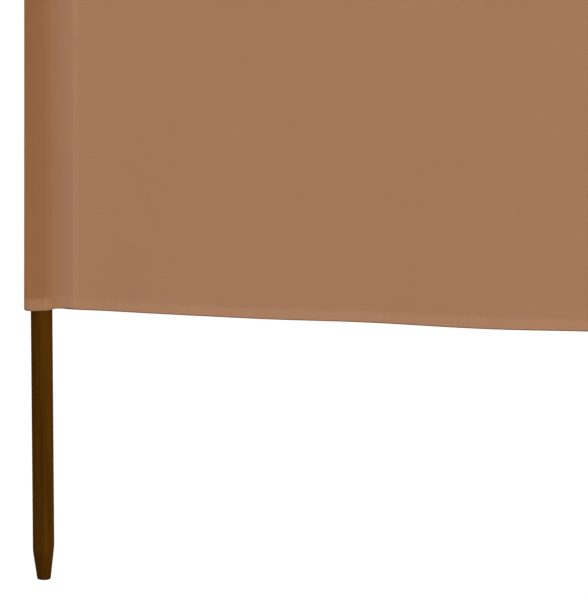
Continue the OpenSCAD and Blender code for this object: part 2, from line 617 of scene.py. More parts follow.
@dataclass(frozen=True)
class ClothFinish:
    """Thin plain-woven cloth, matt: darker over a pole and at folds, as painted shade, and lighter where
    layers lie double.

    Where a single layer stands away from its pole, light comes through it and makes it warmer. Slubs are
    thick places in the threads, drawn out along them. Scales are bumps in a metre of cloth.
    """

    name: str
    single: Colour = (164, 120, 91)
    layered: Colour = (174, 130, 101)
    # painted shade: the cloth's colours where its pole shades it from the light that comes through it
    near_pole: Colour = (140, 103, 58)
    over_pole: Colour = (140, 96, 64)
    lit_through: Colour = (168, 112, 71)
    # painted shade at the folds of the hems
    edge: Colour = (136, 96, 69)
    thread_pitch: float = 0.42 * MM
    thread_depth: float = 0.07 * MM
    thread_round: float = 0.6
    thread_wobble: float = 1.3
    wobble_scale: float = 420.0
    mean_height: float = 0.64
    gap_contrast: float = 0.17
    slub_across: float = 1400.0
    slub_along: float = 22.0
    slub_range: tuple[float, float] = (0.6, 1.4)
    slub_contrast: float = 0.035
    slub_raised: float = 0.4
    mottle_scale: Scale = (9.0, 7.0, 1.0)
    mottle_range: tuple[float, float] = (0.25, 0.75)
    mottle_contrast: float = 0.010
    roughness: float = 0.92
    specular: float = 0.12

    def material(self) -> bpy.types.Material:
        """Build the material: its colour, times the light of its threads, and the weave that raises it.

        Returns:
            The material.
        """
        graph = Graph(bpy.data.materials.new(self.name))
        cloth_map = graph.flat_map()
        weave = self.weave(graph, cloth_map)
        upright = graph.noise(cloth_map, (self.slub_across, self.slub_along, 1.0), detail=1.0)
        level = graph.noise(cloth_map, (self.slub_along, self.slub_across, 1.0), detail=1.0)
        slubs = graph.math("ADD", upright, level)
        light = self.light(graph, cloth_map, weave, slubs)
        colour = graph.lighten(self.colour(graph), light)
        height = graph.math("ADD", weave, graph.math("MULTIPLY", slubs, self.slub_raised))
        return graph.surface(colour, height, self.thread_depth, self.roughness, self.specular)

    def colour(self, graph: Graph) -> Socket:
        """Colour of the cloth before its threads: each mark blends in a colour of its own, with painted
        shade over the pole and at the folds.

        Args:
            graph: The material's nodes.

        Returns:
            The colour.
        """
        layers, behind, folded, lit = (
            graph.add("Attribute", attribute_name=mark.value).outputs["Fac"]
            for mark in (Mark.LAYERS, Mark.BEHIND, Mark.EDGE, Mark.LIT)
        )
        # painted shade: behind blends in the pole's shade, and folded the shade at the folds
        shaded = graph.blend(behind, tone(self.near_pole), tone(self.over_pole))
        colour = graph.blend(layers, tone(self.single), tone(self.layered))
        colour = graph.blend(lit, colour, tone(self.lit_through))
        colour = graph.blend(behind, colour, shaded)
        return graph.blend(folded, colour, tone(self.edge))

    def light(self, graph: Graph, cloth_map: Socket, weave: Socket, slubs: Socket) -> Socket:
        """Light and dark of the threads, about 1: slubs times mottling times the gaps between threads.

        Args:
            graph: The material's nodes.
            cloth_map: Length along the cloth, and height, in metres.
            weave: Height of the weave.
            slubs: The slubs, about 1.

        Returns:
            The factor.
        """
        mottle = graph.noise(cloth_map, self.mottle_scale, detail=3.0)
        slub, blotch, gap = self.slub_contrast, self.mottle_contrast, self.gap_contrast
        mean = self.mean_height
        slub_light = graph.within(slubs, *self.slub_range, 1.0 - slub, 1.0 + slub)
        mottle_light = graph.within(mottle, *self.mottle_range, 1.0 - blotch, 1.0 + blotch)
        thread_light = graph.within(weave, 0.0, 1.0, 1.0 - mean * gap, 1.0 + (1.0 - mean) * gap)
        return graph.math("MULTIPLY", graph.math("MULTIPLY", slub_light, mottle_light), thread_light)

    def weave(self, graph: Graph, cloth_map: Socket) -> Socket:
        """Height of a plain weave, from 0 to 1.

        A sine across the threads of each direction, without its sign, rounds them. The other direction's
        sine, with the sign of the first, carries each thread over one crossing and under the next. The
        higher thread shows. A noise added to the angle makes the threads uneven.

        Args:
            graph: The material's nodes.
            cloth_map: Length along the cloth, and height, in metres.

        Returns:
            The height.
        """
        axes = graph.add("SeparateXYZ", {0: cloth_map})
        wobble = graph.noise(cloth_map, (self.wobble_scale, self.wobble_scale, 1.0), detail=2.0)
        uneven = graph.math("MULTIPLY", wobble, self.thread_wobble)
        angle = math.pi / self.thread_pitch
        angles = [graph.math("MULTIPLY_ADD", axes.outputs[axis], angle, uneven) for axis in (0, 1)]
        first, second = (graph.math("SINE", turn) for turn in angles)
        heights = []
        for own, other, over in ((first, second, 1.0), (second, first, -1.0)):
            rounded = graph.math("MULTIPLY", graph.math("ABSOLUTE", own), self.thread_round)
            carried = graph.math("MULTIPLY", graph.math("SIGN", own), other)
            carried = graph.math("MULTIPLY", carried, over * (1.0 - self.thread_round))
            heights.append(graph.math("ADD", rounded, carried))
        return graph.math("MAXIMUM", *heights)


@dataclass(frozen=True)
class ThreadFinish:
    """Sewing thread in the cloth's colour, a shade deeper, with its twist."""

    name: str = "sewing_thread"
    colour: Colour = (152, 110, 82)
    twist_scale: float = 4200.0
    twist_range: tuple[float, float] = (0.3, 0.7)
    darkest: float = 0.9
    lightest: float = 1.08
    depth: float = 0.05 * MM
    roughness: float = 0.8
    specular: float = 0.15

    def material(self) -> bpy.types.Material:
        """Build the material: a fine noise stands for the twist of the thread.

        Returns:
            The material.
        """
        graph = Graph(bpy.data.materials.new(self.name))
        place = graph.add("TexCoord").outputs["Object"]
        twist = graph.noise(place, (self.twist_scale,) * 3, detail=1.0)
        shade = graph.within(twist, *self.twist_range, self.darkest, self.lightest)
        colour = graph.lighten(tone(self.colour), shade)
        return graph.surface(colour, twist, self.depth, self.roughness, self.specular)


@dataclass(frozen=True)
class WoodFinish:
    """Dark stained round wood: long streaks of grain, short pores, and a dull satin surface.

    Scales are bumps in a metre. The tip and its rim are darker below the first of two heights, as painted
    shade, and as the rest of the pole above the second.
    """

    name: str = "stained_wood"
    deep: Colour = (64, 36, 3)
    light: Colour = (79, 48, 3)
    streak_scale: Scale = (330.0, 330.0, 7.0)
    streak_share: float = 0.65
    streak_raised: float = 0.6
    band_scale: Scale = (90.0, 90.0, 3.0)
    grain_range: tuple[float, float] = (0.36, 0.64)
    pore_scale: Scale = (1700.0, 1700.0, 70.0)
    pore_range: tuple[float, float] = (0.28, 0.42)
    pore: float = 0.72
    # painted shade towards the tip, which faces down, and a painted shadow at the rim of its end
    tip: float = 0.78
    tip_heights: tuple[float, float] = (8.0 * MM, 48.0 * MM)
    rim: float = 0.42
    rim_heights: tuple[float, float] = (0.6 * MM, 3.0 * MM)
    depth: float = 0.06 * MM
    roughness: float = 0.72
    specular: float = 0.01

    def material(self) -> bpy.types.Material:
        """Build the material.

        The grain is noise on the object's own coordinates, drawn out along the pole. Pores are a finer
        noise, cut off low, so that only its deepest parts show. The tip is painted a little darker towards
        its end, as shade, and the rim of the end almost black, as a painted shadow where it meets the floor.

        Returns:
            The material.
        """
        graph = Graph(bpy.data.materials.new(self.name))
        place = graph.add("TexCoord").outputs["Object"]
        streaks = graph.noise(place, self.streak_scale, detail=4.0)
        bands = graph.noise(place, self.band_scale, detail=2.0)
        pores = graph.noise(place, self.pore_scale, detail=1.0)
        shares = (self.streak_share, 1.0 - self.streak_share)
        grain = graph.math("ADD", *(graph.math("MULTIPLY", *pair) for pair in zip((streaks, bands), shares)))
        share = graph.within(grain, *self.grain_range, 0.0, 1.0)
        colour = graph.blend(share, tone(self.deep), tone(self.light))
        colour = graph.lighten(colour, graph.within(pores, *self.pore_range, self.pore, 1.0))
        height = graph.add("SeparateXYZ", {0: place}).outputs[2]
        # painted shade on the tip, and painted shadow at the rim of its end
        tip = graph.within(height, *self.tip_heights, self.tip, 1.0)
        rim = graph.within(height, *self.rim_heights, self.rim, 1.0)
        colour = graph.lighten(colour, graph.math("MULTIPLY", tip, rim))
        raised = graph.math(
            "ADD",
            graph.math("MULTIPLY", streaks, self.streak_raised),
            graph.within(pores, *self.pore_range, 0.0, 1.0),
        )
        return graph.surface(colour, raised, self.depth, self.roughness, self.specular)


@dataclass(frozen=True)
class EndGrainFinish:
    """The sawn end of a pole: rings about a pith that lies off the pole's middle, and open pores.

    Scales are bumps in a metre. The rings and the pores each give their part of the light colour's share.
    """

    name: str = "end_grain"
    deep: Colour = (58, 33, 4)
    light: Colour = (92, 58, 12)
    ring: float = 1.9 * MM
    ring_share: tuple[float, float] = (0.1, 0.75)
    pith: tuple[float, float] = (7.0 * MM, -11.0 * MM)
    wobble: float = 1.6 * MM
    wobble_scale: Scale = (160.0, 160.0, 1.0)
    pore_scale: Scale = (2600.0, 2600.0, 1.0)
    pore_range: tuple[float, float] = (0.3, 0.7)
    pore_share: tuple[float, float] = (-0.2, 0.25)
    depth: float = 0.12 * MM
    roughness: float = 0.85
    specular: float = 0.02

    def material(self) -> bpy.types.Material:
        """Build the material: a sine of the distance from the pith, made uneven by noise.

        Returns:
            The material.
        """
        graph = Graph(bpy.data.materials.new(self.name))
        cut = graph.flat_map()
        from_pith = graph.add("VectorMath", {0: cut, 1: (*self.pith, 0.0)}, operation="SUBTRACT").outputs[0]
        distance = graph.add("VectorMath", {0: from_pith}, operation="LENGTH").outputs["Value"]
        wobble = graph.math("MULTIPLY", graph.noise(cut, self.wobble_scale, detail=2.0), self.wobble)
        uneven = graph.math("ADD", distance, wobble)
        rings = graph.math("SINE", graph.math("MULTIPLY", uneven, FULL_TURN / self.ring))
        pores = graph.noise(cut, self.pore_scale, detail=1.0)
        share = graph.math(
            "ADD",
            graph.within(rings, -1.0, 1.0, *self.ring_share),
            graph.within(pores, *self.pore_range, *self.pore_share),
        )
        colour = graph.blend(share, tone(self.deep), tone(self.light))
        return graph.surface(colour, pores, self.depth, self.roughness, self.specular)


@dataclass(frozen=True)
class Finishes:
    """The materials, made once and shared by the pieces."""

    cloth: bpy.types.Material
    hem: bpy.types.Material
    thread: bpy.types.Material
    wood: bpy.types.Material
    end_grain: bpy.types.Material

    @classmethod
    def make(cls) -> "Finishes":
        """Build every material.

        Returns:
            The materials.
        """
        return cls(
            cloth=ClothFinish("tan_cloth").material(),
            hem=ClothFinish("hem_cloth").material(),
            thread=ThreadFinish().material(),
            wood=WoodFinish().material(),
            end_grain=EndGrainFinish().material(),
        )


def dress(piece: bpy.types.Object, slot: str, *nodes: str) -> bpy.types.Object:
    """Fix a piece to the frame.

    Args:
        piece: The piece.
        slot: The record's material slot. It is not used.
        nodes: The frame's nodes that the piece stands for.

    Returns:
        The same piece.
    """
    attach(piece, "root")
    if nodes:
        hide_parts(*nodes)
    log.info("%s: %d faces", piece.name, len(piece.data.polygons))
    return piece


@dataclass(frozen=True)
class Seam:
    """One upright seam: where it lies, how it wanders, and how the cloth puckers along it."""

    pole: int
    side: Side
    distance: float
    low: float
    drift: float
    drift_from: float = 40.0 * MM
    drift_over: float = 300.0 * MM
    stitch_in: float = 1.5 * MM
    pucker: float = 0.12 * MM
    pucker_lengths: tuple[float, float] = (11.0 * MM, 27.0 * MM)
    pucker_reach: float = 9.0 * MM
    raised: float = 0.36 * MM
    edge_at: float = 2.3 * MM
    edge_soft: float = 0.6 * MM
    lip: float = 5.4 * MM
    step: float = 0.10 * MM
    swell: float = 13.0 * MM
    hollow: float = 0.05 * MM
    hollow_reach: float = 0.9 * MM

    def away(self, up: Array) -> Array:
        """How much further from its pole the seam lies at each height."""
        return self.drift * ease((up - self.low - self.drift_from) / self.drift_over)

    def relief(self, distance: Array, up: Array) -> Array:
        """How far the cloth stands out near the seam.

        The turned-in layers raise the front one from a swell inside the seam. Outside it the cloth falls
        over a broad lip to their folded edge, with a small step. The stitches leave a slight hollow, and
        short puckers fade away from them.

        Args:
            distance: Distance from the pole's middle, along the run.
            up: Heights.

        Returns:
            Distances out of the cloth.
        """
        beyond = distance - self.distance
        stitched = beyond + self.stitch_in
        swell = ease((stitched + self.swell) / self.swell)
        lip = ease((self.edge_at - beyond) / self.lip)
        step = ease((self.edge_at - beyond) / self.edge_soft + 0.5)
        layers = (self.raised - self.step) * lip + self.step * step
        seed = Seed.SEAM_POLE * self.pole + Seed.SEAM_SIDE * self.side.value
        waves = Ripples(self.pucker, *self.pucker_lengths, seed).at(np.zeros_like(up), up)
        hollow = self.hollow * hump(stitched, self.hollow_reach)
        return swell * layers - hollow + waves * hump(stitched, self.pucker_reach)


@dataclass(frozen=True)
class HemRelief:
    """How the cloth is drawn in along the stitches of its hems, and puckers there."""

    layout: Layout
    weave: Weave
    seed: int
    pucker: float
    pucker_lengths: tuple[float, float] = (14.0 * MM, 34.0 * MM)
    pucker_reach: float = 7.5 * MM
    pucker_ends: float = 12.0 * MM
    tight: float = 0.24
    tight_reach: float = 0.9 * MM
    layer_soft: float = 3.0 * MM
    # painted shade along the fold of each edge: how high it reaches, and how softly it ends
    rubbed: float = 1.7 * MM
    rubbed_soft: float = 1.0 * MM

    def lines(self) -> tuple[float, float]:
        """Heights of the two rows of stitches."""
        inset = self.layout.hem - self.weave.stitch_in
        return self.layout.cloth_low + inset, self.layout.cloth_high - inset

    def near(self, up: Array, reach: float) -> Array:
        """1 at both rows of stitches, falling off within a reach."""
        low, high = self.lines()
        return hump(up - low, reach) + hump(up - high, reach)

    def drawn(self, out: Array, up: Array) -> Array:
        """Draw the layers together at the stitches: distances from the middle layer shrink there."""
        middle = -self.weave.pitch
        return middle + (out - middle) * (1.0 - self.tight * self.near(up, self.tight_reach))

    def puckers(self, along: Array, up: Array, from_end: Array) -> Array:
        """Short waves along the stitches that fade above and below them, and towards the piece's ends."""
        waves = Ripples(self.pucker, *self.pucker_lengths, self.seed).at(along, np.zeros_like(along))
        return waves * self.near(up, self.pucker_reach) * ease(from_end / self.pucker_ends)

    def layered(self, up: Array) -> Array:
        """1 where the hem's turned layers lie behind the cloth and 0 elsewhere, over a soft edge."""
        below = ease((self.layout.cloth_low + self.layout.hem - up) / self.layer_soft + 0.5)
        return below + ease((up - self.layout.cloth_high + self.layout.hem) / self.layer_soft + 0.5)

    def folded(self, up: Array) -> Array:
        """1 at the fold of both edges, where the cloth is darkened as painted shade, and 0 a little off it.
        """
        below = ease((self.layout.cloth_low + self.rubbed - up) / self.rubbed_soft)
        return below + ease((up - self.layout.cloth_high + self.rubbed) / self.rubbed_soft)


def set_out(plan: Plan, along: Array, up: Array, out: Array, step: float = 0.15 * MM) -> Array:
    """Set points out from the middle of a layer.

    The heading is the difference of two places a step before and after the station, and out is to the right
    of it, level.

    Args:
        plan: Gives X, Y and Z of the middle of the layer at stations and heights.
        along: Stations.
        up: Heights.
        out: Distances out.
        step: Distance to the two places.

    Returns:
        Points, in a last axis of three.
    """
    x, y, z = plan(along, up)
    x_after, y_after, _ = plan(along + step, up)
    x_before, y_before, _ = plan(along - step, up)
    head_x, head_y = x_after - x_before, y_after - y_before
    size = np.hypot(head_x, head_y)
    return np.stack([x + out * head_y / size, y - out * head_x / size, z], axis=-1)


@dataclass(frozen=True)
class StitchRow:
    """A row of lockstitches that follows the cloth, each a short rounded length of thread.

    It holds the station and the height of each stitch, whether the row runs up the cloth and not along it,
    and whether the path is mirrored. A row on the back of turned layers lies deeper than the front layer.
    """

    weave: Weave
    place: Place
    seed: int
    along: Array
    up: Array
    upright: bool = False
    face: Face = Face.FRONT
    depth: float = 0.0
    turned: bool = False
    long: float = 2.9 * MM
    ring_at: float = 0.3
    radius: float = 0.17 * MM
    proud: float = 0.06 * MM
    sunk: float = 0.1 * MM
    slant: float = 0.05
    uneven: float = 0.04

    def template(self) -> tuple[Array, Array]:
        """One stitch: two rings of four points and a point sunk into the cloth at each end.

        Returns:
            Points along, across and out, and the triangles between them.
        """
        half, ring = self.long / 2, self.long * self.ring_at
        turn = np.arange(4) * FULL_TURN / 4
        across, out = np.cos(turn) * self.radius, np.sin(turn) * self.radius + self.proud
        rings = [np.column_stack([np.full(4, x), across, out]) for x in (-ring, ring)]
        points = np.concatenate([[[-half, 0.0, -self.sunk]], *rings, [[half, 0.0, -self.sunk]]])
        k = np.arange(4)
        after = (k + 1) % 4
        first = np.stack([np.zeros(4, int), 1 + k, 1 + after], axis=1)
        lower = np.stack([1 + k, 5 + k, 5 + after], axis=1)
        upper = np.stack([1 + k, 5 + after, 1 + after], axis=1)
        last = np.stack([5 + k, np.full(4, 9), 5 + after], axis=1)
        return points, np.concatenate([first, lower, upper, last])

    def points(self) -> Array:
        """Place every point of every stitch on the cloth, each stitch a little slanted and uneven in length.

        Returns:
            Points, one row of three for each.
        """
        shape, _ = self.template()
        count = (len(self.along), 1)
        draw = np.random.default_rng(self.seed)
        slant = draw.normal(0.0, self.slant, count)
        longer = draw.normal(1.0, self.uneven, count)
        run = shape[None, :, 0] * longer
        cross = shape[None, :, 1] + run * slant
        out = self.face.value * (self.weave.half + shape[None, :, 2]) + self.depth
        across, ahead = (-cross, run) if self.upright else (run, cross)
        along, up = self.along[:, None] + across, self.up[:, None] + ahead
        return self.place(along, up, np.broadcast_to(out, run.shape)).reshape(-1, 3)

    def faces(self, start: int) -> Array:
        """Triangles of every stitch.

        Args:
            start: Number of points that come before this row's.

        Returns:
            Indices of the points, one row of three for each triangle.
        """
        shape, triangles = self.template()
        starts = start + np.arange(len(self.along)) * len(shape)
        every = (triangles[None] + starts[:, None, None]).reshape(-1, 3)
        return every[:, ::-1] if self.turned else every


def stitches(name: str, rows: Sequence[StitchRow], finish: bpy.types.Material) -> bpy.types.Object:
    """Join rows of stitches into one mesh.

    Args:
        name: Name of the piece.
        rows: The rows.
        finish: Material of the thread.

    Returns:
        The new object.
    """
    points = [row.points() for row in rows]
    starts = np.cumsum([0, *(len(placed) for placed in points)])
    faces = np.concatenate([row.faces(start) for row, start in zip(rows, starts)])
    return mesh_object(name, np.concatenate(points), faces, np.zeros(len(faces), bool), [finish])


@dataclass(frozen=True)
class Sewn:
    """What the bays and the sleeves share: cloth with hems along both edges, stitched at upright seams."""

    number: int
    layout: Layout
    weave: Weave

    row: ClassVar[float] = 15.0 * MM
    hem_row: ClassVar[float] = 1.1 * MM
    hem_reach: ClassVar[float] = 4.5 * MM
    hem_seed: ClassVar[int] = 0
    pucker: ClassVar[float] = 0.28 * MM
    stretch_fades: ClassVar[float] = 4.0
    seam_shows: ClassVar[float] = 0.55
    seam_shows_from: ClassVar[float] = 19.0 * MM
    seam_shows_over: ClassVar[float] = 23.0 * MM
    seam_edge: ClassVar[float] = 1.2 * MM

    @property
    def fold(self) -> HemFold:
        """The fold of both edges."""
        return HemFold(self.weave, self.layout.hem)

    @property
    def relief(self) -> HemRelief:
        """The relief of the hems."""
        return HemRelief(self.layout, self.weave, self.hem_seed + self.number, self.pucker)

    def rows(self) -> Array:
        """Heights of the mesh's rows between the two folds, close together at the edges and the stitches.

        Returns:
            The heights in rising order.
        """
        low, high = self.layout.cloth_low, self.layout.cloth_high
        spots = [Spot(place, self.hem_row, self.hem_reach) for place in (low, *self.relief.lines(), high)]
        return stations(low + self.fold.start, high - self.fold.start, self.row, spots)

    def hem_stretch(self, up: Array) -> Array:
        """0 at the lower edge, rising to 1 at the hem's upper side, and falling to 0 over four hems more."""
        hems = (up - self.layout.cloth_low) / self.layout.hem
        return ease(hems) * (1.0 - ease((hems - 1.0) / self.stretch_fades))

    def seam_layers(self, distance: Array) -> Array:
        """How much the doubled cloth shows: more and more from beside the pole to the seam's folded edge."""
        rising = ease((distance - self.seam_shows_from) / self.seam_shows_over)
        return self.seam_shows * rising * ease((self.layout.lap - distance) / self.seam_edge + 0.5)


@dataclass(frozen=True)
class Bay(Sewn):
    """One bay of cloth between two seams: its panel and its two hems. Along is from the left pole."""

    left: Seam
    right: Seam
    belly: float = 12.5 * MM
    wave_low: float = 2.3 * MM
    wave_high: float = 5.0 * MM
    wave_length: float = 316.0 * MM
    first_crest: float = 264.0 * MM
    crest_step: float = 110.0 * MM
    crest_lean: float = 70.0 * MM
    wave_kept: float = 0.3 * MM
    wave_fades: float = 75.0 * MM
    dip: float = 0.55 * MM
    wander: float = 1.1 * MM
    wander_length: float = 1000.0 * MM
    wander_from: float = 150.0 * MM
    hollow: float = 0.9 * MM
    hollow_at: float = 24.0 * MM
    hollow_width: float = 34.0 * MM
    bulge: float = 2.2 * MM
    bulge_at: float = 130.0 * MM
    bulge_width: float = 60.0 * MM
    beside_seam: float = 26.0 * MM
    hollow_kept: float = 0.2
    hollow_fades: float = 200.0 * MM
    sag: float = 7.0 * MM
    unevenness: float = 0.7 * MM
    uneven_lengths: tuple[float, float] = (170.0 * MM, 620.0 * MM)
    uneven_ends: float = 9.0
    drift_fades: float = 150.0 * MM
    hem_shows: float = 0.35
    hem_shows_more: float = 0.25
    hem_shows_from: float = 30.0 * MM
    hem_shows_over: float = 120.0 * MM
    column: float = 4.6 * MM
    edge_column: float = 0.3 * MM
    edge_reach: float = 1.6 * MM
    stitch_from: float = 2.0 * MM

    @property
    def start(self) -> float:
        """X of the pole on the left of the bay."""
        return self.layout.poles[self.number - 1]

    @property
    def width(self) -> float:
        """Distance from the left seam to the right one."""
        return self.layout.bay - 2 * self.layout.seam

    @property
    def step(self) -> float:
        """How far this bay's crests lie further on than the first bay's."""
        return (self.number - 1) * self.crest_step

    def share(self, along: Array) -> Array:
        """Share of the way from the left seam to the right one."""
        return (along - self.layout.seam) / self.width

    def from_seam(self, along: Array) -> Array:
        """Distance from the nearer seam."""
        return np.minimum(along - self.layout.seam, self.layout.bay - self.layout.seam - along)

    def near_edges(self, up: Array, reach: float) -> tuple[Array, Array]:
        """1 at the lower edge, and 1 at the upper edge, each falling off within a reach."""
        return hump(up - self.layout.cloth_low, reach), hump(up - self.layout.cloth_high, reach)

    def depth(self, along: Array, up: Array) -> Array:
        """Y of the cloth's middle.

        The cloth bellies forward as half a sine from seam to seam, with soft upright waves whose crests
        lean a little and which are high only near the loose edges. Beside each seam it is drawn back in a
        hollow and stands forward again past it. An unevenness dies out at the seams.

        Args:
            along: Stations.
            up: Heights.

        Returns:
            The Y values.
        """
        low, high = self.near_edges(up, self.wave_fades)
        wave = (self.wave_kept + self.wave_low * low + self.wave_high * high) * self.swing(along, up)
        share = self.share(along)
        uneven = Ripples(self.unevenness, *self.uneven_lengths, Seed.BAY + self.number).at(along, up)
        fade = ease(share * self.uneven_ends) * ease((1.0 - share) * self.uneven_ends)
        return -np.sin(math.pi * share) * (self.belly + wave) + uneven * fade + self.beside(along, up)

    def swing(self, along: Array, up: Array) -> Array:
        """The waves, from -1 at a trough to 1 at a crest, with crests that lean."""
        crest = self.first_crest + self.step + self.crest_lean * self.layout.rise(up)
        return np.cos(FULL_TURN * (along - crest) / self.wave_length)

    def hem_wander(self, along: Array, up: Array) -> Array:
        """How much higher the hem is sewn at each station: a long wave, which is 0 at the edge itself."""
        place = along - self.wander_from - self.step
        return -self.wander * np.cos(FULL_TURN * place / self.wander_length) * self.hem_stretch(up)

    def beside(self, along: Array, up: Array) -> Array:
        """The hollow beside the seams, and the bulge past it, deepest near the loose edges.

        Args:
            along: Stations.
            up: Heights.

        Returns:
            What they add to Y.
        """
        from_seam = self.from_seam(along)
        hollow = self.hollow * hump(from_seam - self.hollow_at, self.hollow_width)
        bulge = self.bulge * hump(from_seam - self.bulge_at, self.bulge_width)
        near = sum(self.near_edges(up, self.hollow_fades))
        kept = self.hollow_kept + (1.0 - self.hollow_kept) * near
        return (hollow - bulge) * ease(from_seam / self.beside_seam) * kept

    def plan(self, along: Array, up: Array) -> tuple[Array, Array, Array]:
        """Middle of the cloth: with its seams' drift, and hanging lower at the crests.

        Args:
            along: Stations.
            up: Heights.

        Returns:
            X, Y and Z.
        """
        to_left = along - self.layout.seam
        to_right = self.width - to_left
        x = self.start + along
        x = x + self.left.away(up) * (1.0 - ease(to_left / self.drift_fades))
        x = x - self.right.away(up) * (1.0 - ease(to_right / self.drift_fades))
        between = np.sin(math.pi * np.clip(self.share(along), 0.0, 1.0))
        sag = self.sag * between ** 2 * np.clip(self.layout.rise(up), 0.0, 1.0) ** 2
        dip = self.dip * between * self.swing(along, up) * self.near_edges(up, self.wave_fades)[0]
        return x, self.depth(along, up), up - sag - dip + between * self.hem_wander(along, up)

    def place(self, along: Array, up: Array, out: Array) -> Array:
        """Points of the bay's cloth: set out from its middle, with the relief of seams and hems.

        Args:
            along: Stations.
            up: Heights.
            out: Distances out.

        Returns:
            Points, in a last axis of three.
        """
        out = self.relief.drawn(out, up)
        out = out + self.left.relief(along, up) + self.right.relief(self.layout.bay - along, up)
        out = out + self.relief.puckers(along, up, self.from_seam(along))
        return set_out(self.plan, along, up, out)

    def marks(self, along: Array, up: Array) -> dict[Mark, Array]:
        """What the finish reads: the layers of the hems and seams, and the painted shade at the folds.

        Args:
            along: Stations.
            up: Heights.

        Returns:
            The marks.
        """
        from_seam = self.from_seam(along)
        more = ease((from_seam - self.hem_shows_from) / self.hem_shows_over)
        hems = (self.hem_shows + self.hem_shows_more * more) * self.relief.layered(up)
        seams = np.maximum(self.seam_layers(along), self.seam_layers(self.layout.bay - along))
        none = np.zeros_like(along)
        return {
            Mark.LAYERS: np.maximum(hems, seams),
            Mark.BEHIND: none,
            Mark.EDGE: self.relief.folded(up),
            Mark.LIT: none,
        }

    def columns(self, inset: float) -> Array:
        """Stations of a piece's columns, close together at the seams' folded edges.

        Args:
            inset: Distance of the piece's ends from the poles.

        Returns:
            The stations in rising order.
        """
        edge = self.layout.seam + self.left.edge_at
        ends = [Spot(place, self.edge_column, self.edge_reach) for place in (edge, self.layout.bay - edge)]
        return stations(inset, self.layout.bay - inset, self.column, ends)

    def panel(self, finish: bpy.types.Material) -> bpy.types.Object:
        """Build the single layer of cloth from seam to seam.

        Args:
            finish: Its material.

        Returns:
            The new object.
        """
        up = self.rows()
        section = ribbon(np.zeros_like(up), up, self.weave.thick, (True, True))
        along = self.columns(self.layout.seam)
        return shell(f"panel_{self.number}_cloth", self.place, along, section, self.marks, finish)

    def hem(self, edge: Edge, finish: bpy.types.Material) -> bpy.types.Object:
        """Build the turned layers of one edge.

        Args:
            edge: Which edge.
            finish: Its material.

        Returns:
            The new object.
        """
        out, above = self.fold.line()
        up = self.layout.cloth_low + above if edge is Edge.BOTTOM else self.layout.cloth_high - above
        section = ribbon(out, up, self.weave.thick, (True, False))
        along = self.columns(self.layout.lap)
        name = f"{edge.value}_hem_{self.number}_fold"
        return shell(name, self.place, along, section, self.marks, finish)

    def hem_rows(self, line: float) -> list[StitchRow]:
        """The stitches along one hem, seen in front and behind.

        Args:
            line: Height of the stitches.

        Returns:
            The two rows.
        """
        inset = self.layout.lap + self.stitch_from
        along = np.arange(inset, self.layout.bay - inset, self.weave.stitch_pitch)
        up = np.full_like(along, line)
        behind = -2.0 * self.weave.pitch
        front = StitchRow(self.weave, self.place, Seed.HEM_FRONT + self.number, along, up)
        back = StitchRow(
            self.weave, self.place, Seed.HEM_BACK + self.number, along, up,
            face=Face.BACK, depth=behind, turned=True,
        )
        return [front, back]


@dataclass(frozen=True)
class Leg:
    """One stretch of a sleeve's path in plan: X and Y for a share of the leg and a height."""

    curve: Curve
    length: float

    @classmethod
    def measured(cls, curve: Curve, up: float, chords: int = 200) -> "Leg":
        """Measure a curve at one height and make it a leg: its length is the sum of short chords.

        Args:
            curve: The curve.
            up: The height.
            chords: Number of chords.

        Returns:
            The leg.
        """
        share = np.linspace(0.0, 1.0, chords + 1)
        x, y = curve(share, np.full_like(share, up))
        return cls(curve, float(np.hypot(np.diff(x), np.diff(y)).sum()))


def bezier(share: Array, points: Sequence[tuple[object, object]]) -> tuple[Array, Array]:
    """A cubic curve from the first point to the last, drawn towards the two between.

    With s for the share and r for 1 - s, the points weigh r^3, 3 r^2 s, 3 r s^2 and s^3.

    Args:
        share: Shares of the way, from 0 to 1.
        points: X and Y of the four points, each a number or an array.

    Returns:
        X and Y.
    """
    rest = 1.0 - share
    weights = (rest ** 3, 3 * rest ** 2 * share, 3 * rest * share ** 2, share ** 3)
    x = sum(weight * point[0] for weight, point in zip(weights, points))
    y = sum(weight * point[1] for weight, point in zip(weights, points))
    return x, y


def backwards(curve: Curve) -> Curve:
    """The same curve on the other side of the pole, run the other way.

    Args:
        curve: The curve.

    Returns:
        The mirrored curve.
    """
    def run(share: Array, up: Array) -> tuple[Array, Array]:
        """Mirrored X, and Y, from the end to the start."""
        x, y = curve(1.0 - share, up)
        return -x, y
    return run


